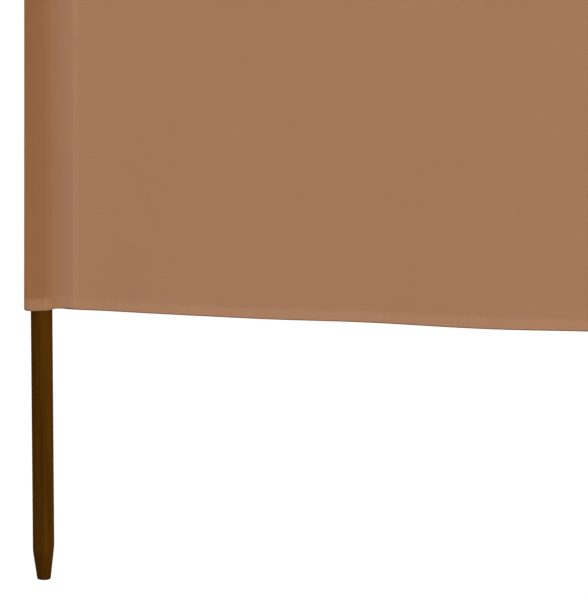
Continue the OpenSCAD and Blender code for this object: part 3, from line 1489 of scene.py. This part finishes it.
@dataclass(frozen=True)
class Sleeve(Sewn):
    """Cloth round a pole: a path in plan made of legs, and the turned layers at its upper and lower edge.

    The path is worked out for a seam on the +X side. A sleeve with its seam on the other side is mirrored.
    Angles are in degrees round the pole, anticlockwise from +X. Under are the numbers of turned layers that
    lie beneath the cloth in its hems, at each end of each leg. One leg lies round the pole, and the first
    stitched strip begins at another.
    """

    seams: dict[Side, Seam]
    bay: Bay
    turned: bool = False
    pole_gap: float = 0.25 * MM
    slack: float = 2.0 * MM
    slack_varies: float = 0.25
    slack_turns: float = 1.3
    slack_step: float = 0.21
    slack_at: float = 270.0
    slack_spread: float = 45.0
    front_leave: float = 340.0
    back_leave: float = 55.0
    front_pull: float = 1.0
    back_pull: float = 0.9
    seam_pull: float = 0.45
    seam_rise: float = 2.2 * MM
    join: float = 3.0 * MM
    drift_from: float = 12.0 * MM
    room_soft: float = 3.0 * MM
    # painted shade of the pole on the cloth: its reach, softness, and the part right over the pole
    shade_reach: float = 28.0 * MM
    shade_soft: float = 10.5 * MM
    over_share: float = 0.42
    over_reach: float = 16.0 * MM
    over_soft: float = 9.0 * MM
    # the hem's layers show lighter, and hide part of the painted shade
    hem_shows: float = 0.4
    hem_hides: float = 0.07
    column: float = 2.2 * MM
    strip_column: float = 0.8 * MM
    strip_reach: float = 3.0 * MM
    hem_stitch_from: float = 2.0 * MM
    seam_stitch_from: float = 3.0 * MM
    seam_stitch_to: float = 2.0 * MM

    label: ClassVar[str] = "sleeve"
    hem_seed: ClassVar[int] = Seed.SLEEVE
    seam_seed: ClassVar[int] = Seed.INNER_SEAM
    pucker: ClassVar[float] = 0.168 * MM
    under: ClassVar[tuple[float, ...]]
    pole_leg: ClassVar[int]
    strip_leg: ClassVar[int]

    @property
    def node(self) -> str:
        """Name of the frame's node."""
        return f"{self.label}_{self.number}"

    @property
    def mirror(self) -> int:
        """-1 where the sleeve is mirrored, and 1 elsewhere."""
        return -1 if self.turned else 1

    @property
    def wrap(self) -> float:
        """Distance of the cloth's middle from the pole's axis where it is drawn close."""
        return self.layout.pole_radius + self.pole_gap + self.weave.half

    @property
    def join_x(self) -> float:
        """Distance from the pole at which the front and the back layer meet."""
        return self.layout.seam - self.join

    @property
    def drawn_x(self) -> float:
        """Distance from the pole of the points towards which the wings are drawn beside the seam."""
        return self.join_x - self.seam_pull * (self.layout.seam - self.layout.pole_radius)

    def own_seams(self) -> list[tuple[int, Seam]]:
        """The seams, with the sign of their side on the path before it is mirrored."""
        return [(self.mirror * side.value, seam) for side, seam in self.seams.items()]

    def loose(self, up: Array) -> Array:
        """How far the sleeve stands loose of its pole at each height, as a wave up the pole."""
        wave = np.cos(FULL_TURN * (self.layout.rise(up) * self.slack_turns + self.slack_step * self.number))
        return self.slack * (1.0 - self.slack_varies + self.slack_varies * wave)

    def around(self, angle: Array, up: Array) -> tuple[Array, Array]:
        """Point at an angle in degrees: drawn close, and loose in a bell round one angle."""
        reach = self.wrap + self.loose(up) * hump(angle - self.slack_at, self.slack_spread)
        return reach * np.cos(np.radians(angle)), reach * np.sin(np.radians(angle))

    def arc(self, first: float, last: float) -> Curve:
        """The cloth round the pole between two angles.

        Args:
            first: The angle at which it begins.
            last: The angle at which it ends.

        Returns:
            The curve.
        """
        def run(share: Array, up: Array) -> tuple[Array, Array]:
            """Point at a share of the way between the angles."""
            return self.around(first + (last - first) * share, up)
        return run

    def leave(self, angle: float, pull: float, up: Array) -> tuple[tuple[Array, Array], tuple[Array, Array]]:
        """Where a layer leaves the pole, and a point straight on from there.

        Args:
            angle: The angle at which it leaves.
            pull: How far on the second point lies, in radii of the cloth, and less than 0 the other way.
            up: Heights.

        Returns:
            The two points.
        """
        turn = math.radians(angle)
        x, y = self.around(np.full_like(up, angle), up)
        far = pull * self.wrap
        return (x, y), (x - far * math.sin(turn), y + far * math.cos(turn))

    def front_wing(self, share: Array, up: Array) -> tuple[Array, Array]:
        """The front layer from the pole to where it meets the back one."""
        start, ahead = self.leave(self.front_leave, self.front_pull, up)
        return bezier(share, [start, ahead, (self.drawn_x, self.seam_rise), (self.join_x, 0.0)])

    def back_wing(self, share: Array, up: Array) -> tuple[Array, Array]:
        """The back layer from where it leaves the front one to the pole.

        Args:
            share: Shares of the way.
            up: Heights.

        Returns:
            X and Y.
        """
        finish, before = self.leave(self.back_leave, -self.back_pull, up)
        behind = self.weave.pitch
        away = (self.drawn_x, behind + 2 * self.seam_rise)
        return bezier(share, [(self.join_x, behind), away, before, finish])

    def front_strip(self, share: Array, up: Array) -> tuple[Array, Array]:
        """The stitched width of the front layer, up to the seam."""
        return self.join_x + self.join * share, np.zeros_like(up)

    def back_strip(self, share: Array, up: Array) -> tuple[Array, Array]:
        """The stitched width of the back layer, away from the seam."""
        return self.layout.seam - self.join * share, np.full_like(up, self.weave.pitch)

    def lap_strip(self, share: Array, up: Array) -> tuple[Array, Array]:
        """The folded edge that laps behind the next panel, up to the seam.

        Args:
            share: Shares of the way.
            up: Heights.

        Returns:
            X and Y.
        """
        lap = self.layout.lap
        edge = self.bay.depth(np.full_like(up, lap), up)
        return lap + (self.layout.seam - lap) * share, self.weave.pitch + edge * (1.0 - share)

    def curves(self) -> list[Curve]:
        """The curves of the path, in order."""
        raise NotImplementedError

    def legs(self) -> list[Leg]:
        """The legs of the path, measured half-way up."""
        return [Leg.measured(curve, self.layout.middle) for curve in self.curves()]

    def stops(self) -> Array:
        """Stations at which the legs begin and end."""
        return np.concatenate([[0.0], np.cumsum([leg.length for leg in self.legs()])])

    def local(self, along: Array, up: Array) -> tuple[Array, Array]:
        """X from the pole, and Y, of the cloth's middle: each leg in its own stretch of the path.

        Args:
            along: Stations.
            up: Heights.

        Returns:
            X and Y.
        """
        legs, stops = self.legs(), self.stops()
        x, y = np.zeros_like(along), np.zeros_like(along)
        every = np.full(along.shape, True)
        for index, leg in enumerate(legs):
            after = along >= stops[index] if index else every
            before = along < stops[index + 1] if index < len(legs) - 1 else every
            leg_x, leg_y = leg.curve((along - stops[index]) / leg.length, up)
            x = np.where(after & before, leg_x, x)
            y = np.where(after & before, leg_y, y)
        return x, y

    def plan(self, along: Array, up: Array) -> tuple[Array, Array, Array]:
        """Middle of the cloth, with the drift of its seams.

        Args:
            along: Stations.
            up: Heights.

        Returns:
            X, Y and Z.
        """
        x, y = self.local(along, up)
        for sign, seam in self.own_seams():
            share = ease((sign * x - self.drift_from) / (self.layout.seam - self.drift_from))
            x = x + sign * seam.away(up) * share
        return self.layout.poles[self.number - 1] + self.mirror * x, y, up - self.lowered(along, up)

    def lowered(self, along: Array, up: Array) -> Array:
        """How far the cloth hangs below its even edge."""
        return np.zeros_like(up)

    def place(self, along: Array, up: Array, out: Array) -> Array:
        """Points of the sleeve: set out from its middle, over the turned layers, with the seams' relief.

        Args:
            along: Stations.
            up: Heights.
            out: Distances out.

        Returns:
            Points, in a last axis of three.
        """
        x, _ = self.local(along, up)
        stops = self.stops()
        under = np.interp(along, stops, self.under) * self.weave.pitch
        out = self.relief.drawn(out, up)
        out = out + np.maximum(under - self.room(along, up), 0.0) * self.relief.layered(up)
        out = out + self.relief.puckers(along, up, np.minimum(along, stops[-1] - along))
        for sign, seam in self.own_seams():
            out = out + seam.relief(sign * x, up)
        return set_out(self.plan, along, up, out * self.mirror)

    def room(self, along: Array, up: Array) -> Array:
        """Room between the pole and the cloth drawn round it, on the leg round the pole alone.

        Args:
            along: Stations.
            up: Heights.

        Returns:
            The room.
        """
        x, y = self.local(along, up)
        first, last = self.stops()[self.pole_leg:self.pole_leg + 2]
        inner = (first, first + self.room_soft, last - self.room_soft, last)
        return (np.hypot(x, y) - self.wrap) * np.interp(along, inner, (0.0, 1.0, 1.0, 0.0))

    def beside(self, x: Array) -> Array:
        """How far to the side of the pole's axis a place lies, for the painted shade of the pole on the
        cloth.
        """
        return np.abs(x)

    def remaining(self, x: Array) -> Array:
        """What is left of the painted shade: all of it."""
        return np.ones_like(x)

    def over(self, x: Array) -> Array:
        """The part of the painted shade that shows right over the pole alone, and through a single layer
        alone.
        """
        near = ease((self.over_reach - self.beside(x)) / self.over_soft)
        return self.over_share * near * self.remaining(x)

    def shade(self, x: Array) -> Array:
        """How much painted shade the pole casts through the cloth: over it, and over half as much where the
        cloth leaves it.
        """
        wide = ease((self.shade_reach - self.beside(x)) / self.shade_soft) * self.remaining(x)
        return self.over(x) + (1.0 - self.over_share) * wide

    def lit(self, x: Array) -> Array:
        """How much light comes through the cloth: none where it lies on its pole or double."""
        return np.zeros_like(x)

    def marks(self, along: Array, up: Array) -> dict[Mark, Array]:
        """What the finish reads: painted shade over the pole and at folds, and the layers of hems and seams.

        Args:
            along: Stations.
            up: Heights.

        Returns:
            The marks.
        """
        x, _ = self.local(along, up)
        layered = self.relief.layered(up)
        seams = np.max([self.seam_layers(sign * x) for sign, _ in self.own_seams()], axis=0)
        # the hem's layers hide part of the painted shade of the pole
        hidden = 1.0 - self.hem_hides * layered
        return {
            Mark.LAYERS: 1.0 - (1.0 - self.hem_shows * layered) * (1.0 - seams),
            Mark.BEHIND: (self.shade(x) - self.over(x) * layered) * hidden,
            Mark.EDGE: self.relief.folded(up),
            Mark.LIT: self.lit(x) * (1.0 - layered),
        }

    def section(self) -> Section:
        """The cloth from raw edge to raw edge: turned up at the bottom, and down at the top.

        Returns:
            The section.
        """
        out, above = self.fold.line()
        up = self.rows()[1:-1]
        return ribbon(
            np.concatenate([out[::-1], np.zeros_like(up), out]),
            np.concatenate([self.layout.cloth_low + above[::-1], up, self.layout.cloth_high - above]),
            self.weave.thick,
        )

    def build(self, finish: bpy.types.Material) -> bpy.types.Object:
        """Build the sleeve's cloth, with its columns close together at the stitched strips.

        Args:
            finish: Its material.

        Returns:
            The new object.
        """
        stops = self.stops()
        strips = [Spot(stops[index], self.strip_column, self.strip_reach) for index in (0, 1, -2, -1)]
        along = stations(0.0, float(stops[-1]), self.column, strips)
        name = f"{self.node}_cloth"
        return shell(name, self.place, along, self.section(), self.marks, finish, turned=self.turned)

    def hem_span(self) -> tuple[float, float]:
        """Stations between which the hems are stitched."""
        return self.hem_stitch_from, self.stops()[-1] - self.hem_stitch_from

    def seam_stations(self) -> tuple[float, float]:
        """Stations of the two rows of stitches up the seams: the middles of the stitched strips."""
        near = self.stops()[self.strip_leg] + self.join / 2
        return near, self.stops()[-1] - near

    def stitch_rows(self) -> list[StitchRow]:
        """The stitches along both hems and up both seams, on the outer face.

        Returns:
            The four rows.
        """
        low, high, pitch = self.layout.cloth_low, self.layout.cloth_high, self.weave.stitch_pitch
        along = np.arange(*self.hem_span(), pitch)
        up = np.arange(low + self.seam_stitch_from, high - self.seam_stitch_to, pitch)
        rows = []
        for index, line in enumerate(self.relief.lines()):
            seed = Seed.SLEEVE_HEM + Seed.STEP * self.number + index
            rows.append(self.stitch_row(seed, along, np.full_like(along, line), upright=False))
        for index, station in enumerate(self.seam_stations()):
            seed = self.seam_seed + Seed.STEP * index + self.number
            rows.append(self.stitch_row(seed, np.full_like(up, station), up, upright=True))
        return rows

    def stitch_row(self, seed: int, along: Array, up: Array, upright: bool) -> StitchRow:
        """One row of stitches on the outer face."""
        return StitchRow(self.weave, self.place, seed, along, up, upright, turned=self.turned)


@dataclass(frozen=True)
class EndSleeve(Sleeve):
    """The sleeve on an end pole: one loop from the seam round the pole and back, loose low down."""

    slack: float = 9.6 * MM
    slack_at: float = 220.0
    slack_spread: float = 38.0
    slack_high: float = 1.4 * MM
    droop: float = 0.5 * MM
    droop_inside: float = 7.0 * MM
    droop_reach: float = 12.0 * MM
    lift: float = 1.1 * MM
    lift_inside: float = 5.0 * MM
    lift_reach: float = 8.0 * MM
    hem_higher: float = 1.3 * MM
    hem_ends: float = 10.0 * MM
    lower_fades: float = 60.0 * MM
    # the painted shade of the pole fades where the cloth stands away from it
    stands_loses: float = 0.8
    stands_from: float = 5.0 * MM
    stands_over: float = 13.0 * MM
    lit_from: float = 4.0 * MM
    lit_over: float = 9.0 * MM
    hem_stitch_from: float = 1.0 * MM

    seam_seed: ClassVar[int] = Seed.END_SEAM
    under: ClassVar[tuple[float, ...]] = (2.0, 4.0, 4.0, 2.0, 2.0, 0.0, 0.0)
    pole_leg: ClassVar[int] = 3
    strip_leg: ClassVar[int] = 1

    def loose(self, up: Array) -> Array:
        """Loose at the lower edge, and evenly closer higher up."""
        return self.slack + (self.slack_high - self.slack) * self.layout.rise(up)

    def lowered(self, along: Array, up: Array) -> Array:
        """How far the cloth is lowered beside the seam: more than 0 for the back layer, less for the front.

        The hem is sewn a little higher round the pole than beside the seam.

        Args:
            along: Stations.
            up: Heights.

        Returns:
            The distances down.
        """
        stops = self.stops()
        behind = self.droop * hump(along - stops[2] - self.droop_inside, self.droop_reach)
        before = self.lift * hump(along - stops[-2] + self.lift_inside, self.lift_reach)
        ends = ease((along - stops[3]) / self.hem_ends) * ease((stops[4] - along) / self.hem_ends)
        near = hump(up - self.layout.cloth_low, self.lower_fades)
        return (behind - before) * near - self.hem_higher * ends * self.hem_stretch(up)

    def curves(self) -> list[Curve]:
        """Lap, stitched strip, back wing, round the pole, front wing, and stitched strip.

        Returns:
            The curves.
        """
        return [
            self.lap_strip,
            self.back_strip,
            self.back_wing,
            self.arc(self.back_leave, self.front_leave),
            self.front_wing,
            self.front_strip,
        ]

    def beside(self, x: Array) -> Array:
        """The same on the seam's side of the pole, and 0 on the other, where the cloth stands away."""
        return np.maximum(x, 0.0)

    def remaining(self, x: Array) -> Array:
        """What is left of the painted shade on the side where the cloth stands away."""
        return 1.0 - self.stands_loses * ease((-x - self.stands_from) / self.stands_over)

    def lit(self, x: Array) -> Array:
        """Fully on the side where the cloth stands away from its pole."""
        return ease((-x - self.lit_from) / self.lit_over)

    def hem_span(self) -> tuple[float, float]:
        """From the stitched strip of the back layer to the end of the front one."""
        stops = self.stops()
        return stops[self.strip_leg] + self.hem_stitch_from, stops[-1] - self.hem_stitch_from

    def seam_stations(self) -> tuple[float, float]:
        """The middles of the back layer's stitched strip and of the front one's."""
        stops = self.stops()
        return stops[self.strip_leg] + self.join / 2, stops[-1] - self.join / 2


@dataclass(frozen=True)
class InnerFront(Sleeve):
    """The cloth in front of an inner pole, from the seam on its left to the seam on its right."""

    under: ClassVar[tuple[float, ...]] = (0.0, 0.0, 2.0, 2.0, 0.0, 0.0)
    pole_leg: ClassVar[int] = 2
    strip_leg: ClassVar[int] = 0

    def curves(self) -> list[Curve]:
        """Stitched strip, wing, round the pole's front, wing, and stitched strip.

        Returns:
            The curves.
        """
        right = [self.front_wing, self.front_strip]
        round_pole = self.arc(3 * HALF_ROUND - self.front_leave, self.front_leave)
        return [*map(backwards, reversed(right)), round_pole, *right]


@dataclass(frozen=True)
class InnerBack(Sleeve):
    """The strip behind an inner pole, with its edges behind the two panels."""

    label: ClassVar[str] = "sleeve_back"
    under: ClassVar[tuple[float, ...]] = (2.0, 4.0, 4.0, 2.0, 2.0, 4.0, 4.0, 2.0)
    pole_leg: ClassVar[int] = 3
    strip_leg: ClassVar[int] = 1

    def curves(self) -> list[Curve]:
        """Lap, stitched strip and wing, round the pole's back, and the same the other way.

        Returns:
            The curves.
        """
        right = [self.lap_strip, self.back_strip, self.back_wing]
        round_pole = self.arc(self.back_leave, HALF_ROUND - self.back_leave)
        return [*right, round_pole, *map(backwards, reversed(right))]

    def loose(self, up: Array) -> Array:
        """Drawn close all the way."""
        return np.zeros_like(up)


@dataclass(frozen=True)
class Pole:
    """A round pole with a ground tip to drive into the ground and a chamfered head to strike.

    The tip is the part of the round pole that lies inside a cone. The cone's middle lies a little off the
    pole's axis at the end and leans back to it, so that the grinding starts higher on one side. The rows
    of the mesh are close together near spots, given by how fine they are there and how far that reaches.
    """

    number: int
    x: float
    radius: float
    top: float
    tip_radius: float = 8.8 * MM
    tip_off: float = 0.2 * MM
    tip_long: float = 45.0 * MM
    tip_short: float = 38.0 * MM
    tip_soft: float = 0.5 * MM
    chamfer: float = 3.0 * MM
    chamfer_soft: float = 0.9 * MM
    end_round: float = 1.2 * MM
    sides: int = 80
    row: float = 30.0 * MM
    end_rows: tuple[float, float] = (0.16 * MM, 0.8 * MM)
    tip_rows: tuple[float, float] = (1.6 * MM, 22.0 * MM)
    tip_rows_at: float = 24.0 * MM
    chamfer_rows: tuple[float, float] = (0.7 * MM, 3.0 * MM)
    end_rings: tuple[float, ...] = (0.3, 0.62, 0.9)
    flat_within: float = 0.01 * MM

    @property
    def tip_turn(self) -> float:
        """Direction in which the tip lies off the axis: the golden angle further from pole to pole."""
        return GOLDEN_ANGLE * (self.number - 1)

    def reach(self, angle: Array, up: Array) -> Array:
        """Distance of the surface from the axis.

        It is the least of the round pole, the leaning cone of the tip and the cone of the head's chamfer,
        each rounded into the next, less a quarter circle at both ends.

        Args:
            angle: Angles round the axis.
            up: Heights.

        Returns:
            The distances.
        """
        steep = (self.radius - self.tip_radius + self.tip_off) / self.tip_short
        shallow = (self.radius - self.tip_radius - self.tip_off) / self.tip_long
        off = self.tip_off - (steep - shallow) / 2 * up
        cone = self.tip_radius + (steep + shallow) / 2 * up
        turn = angle - self.tip_turn
        tip = off * np.cos(turn) + np.sqrt(np.maximum(cone ** 2 - (off * np.sin(turn)) ** 2, 0.0))
        head = self.radius - self.chamfer + (self.top - up)
        reach = lesser(np.full_like(up, self.radius), tip, self.tip_soft)
        reach = lesser(reach, head, self.chamfer_soft)
        for left in (up, self.top - up):
            inside = np.clip(self.end_round - left, 0.0, self.end_round)
            reach = reach - (self.end_round - np.sqrt(self.end_round ** 2 - inside ** 2))
        return reach

    def heights(self) -> Array:
        """Heights of the mesh's rows, close together at the ends, on the tip and at the chamfer.

        Returns:
            The heights in rising order.
        """
        spots = [
            Spot(0.0, *self.end_rows),
            Spot(self.tip_rows_at, *self.tip_rows),
            Spot(self.top - self.chamfer, *self.chamfer_rows),
            Spot(self.top, *self.end_rows),
        ]
        return stations(0.0, self.top, self.row, spots)

    def build(self, finishes: Finishes) -> bpy.types.Object:
        """Build the pole: rings of points from the end's middle up to the head's middle.

        Args:
            finishes: The materials.

        Returns:
            The pole's object.
        """
        up = self.heights()
        angle = np.arange(self.sides) * FULL_TURN / self.sides
        grid_up, grid_angle = np.meshgrid(up, angle, indexing="ij")
        reach = self.reach(grid_angle, grid_up)
        shares = np.array(self.end_rings)[:, None]
        reach = np.concatenate([reach[:1] * shares, reach, reach[-1:] * shares[::-1]])
        rings = np.concatenate([np.zeros(len(shares)), up, np.full(len(shares), self.top)])
        x, y = reach * np.cos(angle), reach * np.sin(angle)
        z = np.repeat(rings[:, None], self.sides, axis=1)
        points = np.stack([self.x + x, y, z], axis=-1).reshape(-1, 3)
        points = np.concatenate([points, [[self.x, 0.0, 0.0], [self.x, 0.0, self.top]]])
        return self.join(points, len(rings), finishes)

    def join(self, points: Array, rings: int, finishes: Finishes) -> bpy.types.Object:
        """Join the rings by triangles and close both ends with a fan.

        Args:
            points: The rings' points, then the middle of the tip's end and of the head.
            rings: Number of rings.
            finishes: The materials.

        Returns:
            The pole's object.
        """
        ring, side = np.meshgrid(np.arange(rings - 1), np.arange(self.sides), indexing="ij")
        after = (side + 1) % self.sides
        here, above = ring * self.sides, (ring + 1) * self.sides
        lower = np.stack([here + side, here + after, above + after], axis=-1).reshape(-1, 3)
        upper = np.stack([here + side, above + after, above + side], axis=-1).reshape(-1, 3)
        first = np.arange(self.sides)
        second = (first + 1) % self.sides
        last = (rings - 1) * self.sides
        tip = np.stack([second, first, np.full_like(first, len(points) - 2)], axis=1)
        head = np.stack([last + first, last + second, np.full_like(first, len(points) - 1)], axis=1)
        faces = np.concatenate([lower, upper, tip, head])
        materials = [finishes.wood, finishes.end_grain]
        piece = mesh_object(f"pole_{self.number}_wood", points, faces, np.zeros(len(faces), bool), materials)
        height = points[faces].mean(axis=1)[:, 2]
        ends = (height < self.flat_within) | (height > self.top - self.flat_within)
        piece.data.polygons.foreach_set("material_index", ends.astype(np.int32))
        cut = points[:, :2] - np.array([self.x, 0.0])
        set_uv(piece, cut[faces.reshape(-1)])
        return piece


@dataclass(frozen=True)
class Windbreak:
    """The whole run: poles, sleeves, bays and stitches. The first bay's left seam has a drift of its own."""

    layout: Layout
    weave: Weave
    finishes: Finishes
    first_drift: float = 1.7 * MM
    drift_spread: float = 1.2 * MM

    def seams(self) -> dict[tuple[int, Side], Seam]:
        """The upright seams, each with its own drift, drawn in order from left to right.

        Returns:
            The seams, by pole and side.
        """
        draw = np.random.default_rng(Seed.SEAM_DRIFT)
        found = {}
        for number in range(1, len(self.layout.poles) + 1):
            for side in Side:
                drift = float(draw.uniform(-1.0, 1.0)) * self.drift_spread
                if (number, side) == (1, Side.RIGHT):
                    drift = self.first_drift
                found[number, side] = Seam(number, side, self.layout.seam, self.layout.cloth_low, drift)
        return found

    def bays(self, seams: dict[tuple[int, Side], Seam]) -> list[Bay]:
        """The bays from left to right."""
        return [
            Bay(number, self.layout, self.weave, seams[number, Side.RIGHT], seams[number + 1, Side.LEFT])
            for number in range(1, self.layout.bays + 1)
        ]

    def sleeves(self, seams: dict[tuple[int, Side], Seam], bays: Sequence[Bay]) -> list[Sleeve]:
        """The sleeves from left to right, each with the bay behind which its edges lie.

        Args:
            seams: The upright seams.
            bays: The bays.

        Returns:
            The sleeves, the front one of each inner pole before the back one.
        """
        last, common = len(self.layout.poles), (self.layout, self.weave)
        found = [EndSleeve(1, *common, {Side.RIGHT: seams[1, Side.RIGHT]}, bays[0])]
        for number in range(2, last):
            around = {side: seams[number, side] for side in Side}
            found += [kind(number, *common, around, bays[number - 1]) for kind in (InnerFront, InnerBack)]
        found.append(EndSleeve(last, *common, {Side.LEFT: seams[last, Side.LEFT]}, bays[-1], turned=True))
        return found

    def build(self) -> None:
        """Build and dress every piece: poles, sleeves and bays, each from left to right."""
        for number, x in enumerate(self.layout.poles, start=1):
            pole = Pole(number, x, self.layout.pole_radius, self.layout.pole_top)
            dress(pole.build(self.finishes), "pole_wood", f"pole_{number}")
        seams = self.seams()
        bays = self.bays(seams)
        for sleeve in self.sleeves(seams, bays):
            self.sleeve(sleeve)
        for bay in bays:
            self.bay(bay)

    def sleeve(self, sleeve: Sleeve) -> None:
        """Build a sleeve. Its cut is as long as its path, and four hems longer than it is tall.

        Args:
            sleeve: The sleeve.
        """
        cloth = dress(sleeve.build(self.finishes.cloth), "cloth", sleeve.node)
        flat = (float(sleeve.stops()[-1]), self.layout.height + 4.0 * self.layout.hem)
        pole = f"pole_{sleeve.number}_wood"
        self.stitch(cloth, sleeve.node, "cloth", sleeve.stitch_rows(), flat, pole)

    def bay(self, bay: Bay) -> None:
        """Build a bay's panel and its hems.

        Args:
            bay: The bay.
        """
        number = bay.number
        panel = dress(bay.panel(self.finishes.cloth), "cloth", f"panel_{number}")
        bay.width
        flat = (self.layout.bay - 2 * self.layout.lap, 2.0 * self.layout.hem)
        for edge, line in zip(Edge, bay.relief.lines()):
            node = f"{edge.value}_hem_{number}"
            hem = dress(bay.hem(edge, self.finishes.hem), "hem_cloth", node)
            self.stitch(hem, node, "hem_cloth", bay.hem_rows(line), flat, panel.name)

    def stitch(
        self,
        cloth: bpy.types.Object,
        node: str,
        slot: str,
        rows: Sequence[StitchRow],
        flat: tuple[float, float],
        under: str,
    ) -> None:
        """Args:
            cloth: The piece. It is not used.
            node: The frame's node that it stands for.
            slot: The record's material slot of the stitches.
            rows: The rows of stitches.
            flat: Width and height of the piece laid out flat. It is not used.
            under: Name of the piece on which it rests. It is not used.
        """
        thread = dress(stitches(f"{node}_stitches", rows, self.finishes.thread), slot)


@dataclass(frozen=True)
class FloorFinish:
    """Plain pale floor: it takes a faint shadow, and looks white to the camera."""

    name: str = "pale_floor"
    colour: Colour = (214, 212, 208)
    own_light: float = 0.87
    own_strength: float = 1.09

    def material(self) -> bpy.types.Material:
        """Build the material: diffuse for the light, with its own white added where a ray shows it.

        Returns:
            The material.
        """
        graph = Graph(bpy.data.materials.new(self.name))
        matt = graph.add("BsdfDiffuse", {"Color": tone(self.colour)})
        white = graph.add("Emission", {"Color": WHITE, "Strength": self.own_strength})
        share = graph.math("MULTIPLY", graph.shown(), self.own_light)
        both = graph.add("MixShader", {0: share, 1: matt.outputs[0], 2: white.outputs[0]})
        return graph.finish(both, "OutputMaterial")


@dataclass(frozen=True)
class Lamp:
    """A distant soft light: where it comes from, how wide it looks, and how much light it gives.

    Angles are in degrees. Azimuth 0 is in front of the windbreak, and 90 to its right.
    """

    name: str
    azimuth: float
    elevation: float
    width: float
    strength: float
    away: float = 8.0

    def build(self) -> None:
        """Add the lamp, turned to the middle of the scene."""
        light = bpy.data.lights.new(self.name, "SUN")
        light.energy = self.strength
        light.angle = math.radians(self.width)
        lamp = bpy.data.objects.new(self.name, light)
        turn, lift = math.radians(self.azimuth), math.radians(self.elevation)
        source = Vector((math.sin(turn) * math.cos(lift), -math.cos(turn) * math.cos(lift), math.sin(lift)))
        lamp.rotation_mode = "QUATERNION"
        lamp.rotation_quaternion = source.to_track_quat("Z", "Y")
        lamp.location = source * self.away
        bpy.context.scene.collection.objects.link(lamp)


@dataclass(frozen=True)
class Studio:
    """Floor, soft light and camera. The camera's angles are in degrees, and its lens in millimetres."""

    eye: tuple[float, float, float] = (-0.935, -6.8715, 1.898)
    down: float = 12.2328
    to_left: float = 10.1847
    roll: float = 0.08
    lens: float = 335.46
    sensor: float = 36.0
    clip: tuple[float, float] = (0.1, 600.0)
    sky: float = 0.51
    floor_reach: float = 220.0
    floor_up: float = -0.5 * MM
    floor_sides: int = 96
    lamps: tuple[Lamp, ...] = field(default_factory=lambda: (
        Lamp("key_light", azimuth=40.0, elevation=32.0, width=80.0, strength=2.04),
        Lamp("rim_light", azimuth=100.0, elevation=30.0, width=60.0, strength=0.61),
        Lamp("back_light", azimuth=190.0, elevation=36.0, width=60.0, strength=0.8),
    ))

    def camera(self) -> None:
        """Set up the camera: level heading, tilt and roll, with no shift."""
        lens = bpy.data.cameras.new("view")
        lens.lens = self.lens
        lens.sensor_width = self.sensor
        lens.clip_start, lens.clip_end = self.clip
        turn, down, roll = (math.radians(value) for value in (self.to_left, self.down, self.roll))
        ahead = Vector((-math.sin(turn) * math.cos(down), math.cos(turn) * math.cos(down), -math.sin(down)))
        right = Vector((math.cos(turn), math.sin(turn), 0.0))
        over = right.cross(ahead)
        across = right * math.cos(roll) + over * math.sin(roll)
        upward = over * math.cos(roll) - right * math.sin(roll)
        turned = Matrix((across, upward, -ahead)).transposed().to_4x4()
        camera = bpy.data.objects.new("view", lens)
        camera.matrix_world = Matrix.Translation(self.eye) @ turned
        bpy.context.scene.collection.objects.link(camera)
        bpy.context.scene.camera = camera

    def world(self) -> None:
        """Set up the world: even light, shown as plain white."""
        graph = Graph(bpy.data.worlds.new("studio"))
        even = graph.add("Background", {"Color": WHITE, "Strength": self.sky})
        white = graph.add("Background", {"Color": WHITE, "Strength": 1.0})
        mixed = graph.add("MixShader", {0: graph.shown(), 1: even.outputs[0], 2: white.outputs[0]})
        bpy.context.scene.world = graph.finish(mixed, "OutputWorld")

    def floor(self) -> None:
        """Lay the floor: a round disc just under the poles' tips."""
        turn = np.arange(self.floor_sides) * FULL_TURN / self.floor_sides
        points = np.stack([np.cos(turn), np.sin(turn), np.zeros_like(turn)], axis=1) * self.floor_reach
        points[:, 2] = self.floor_up
        faces = np.arange(self.floor_sides)[None, :]
        ground = mesh_object("floor", points, faces, np.ones(1, bool), [FloorFinish().material()])

    def build(self) -> None:
        """Set up everything round the windbreak."""
        self.camera()
        self.world()
        self.floor()
        for lamp in self.lamps:
            lamp.build()
        bpy.context.scene.view_settings.view_transform = "Standard"


def main() -> None:
    """Dress the windbreak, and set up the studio."""
    logging.basicConfig(level=logging.INFO, format="%(name)s: %(message)s")
    Studio().build()
    Windbreak(Layout.from_frame(), Weave(), Finishes.make()).build()


if __name__ == "__main__":
    main()
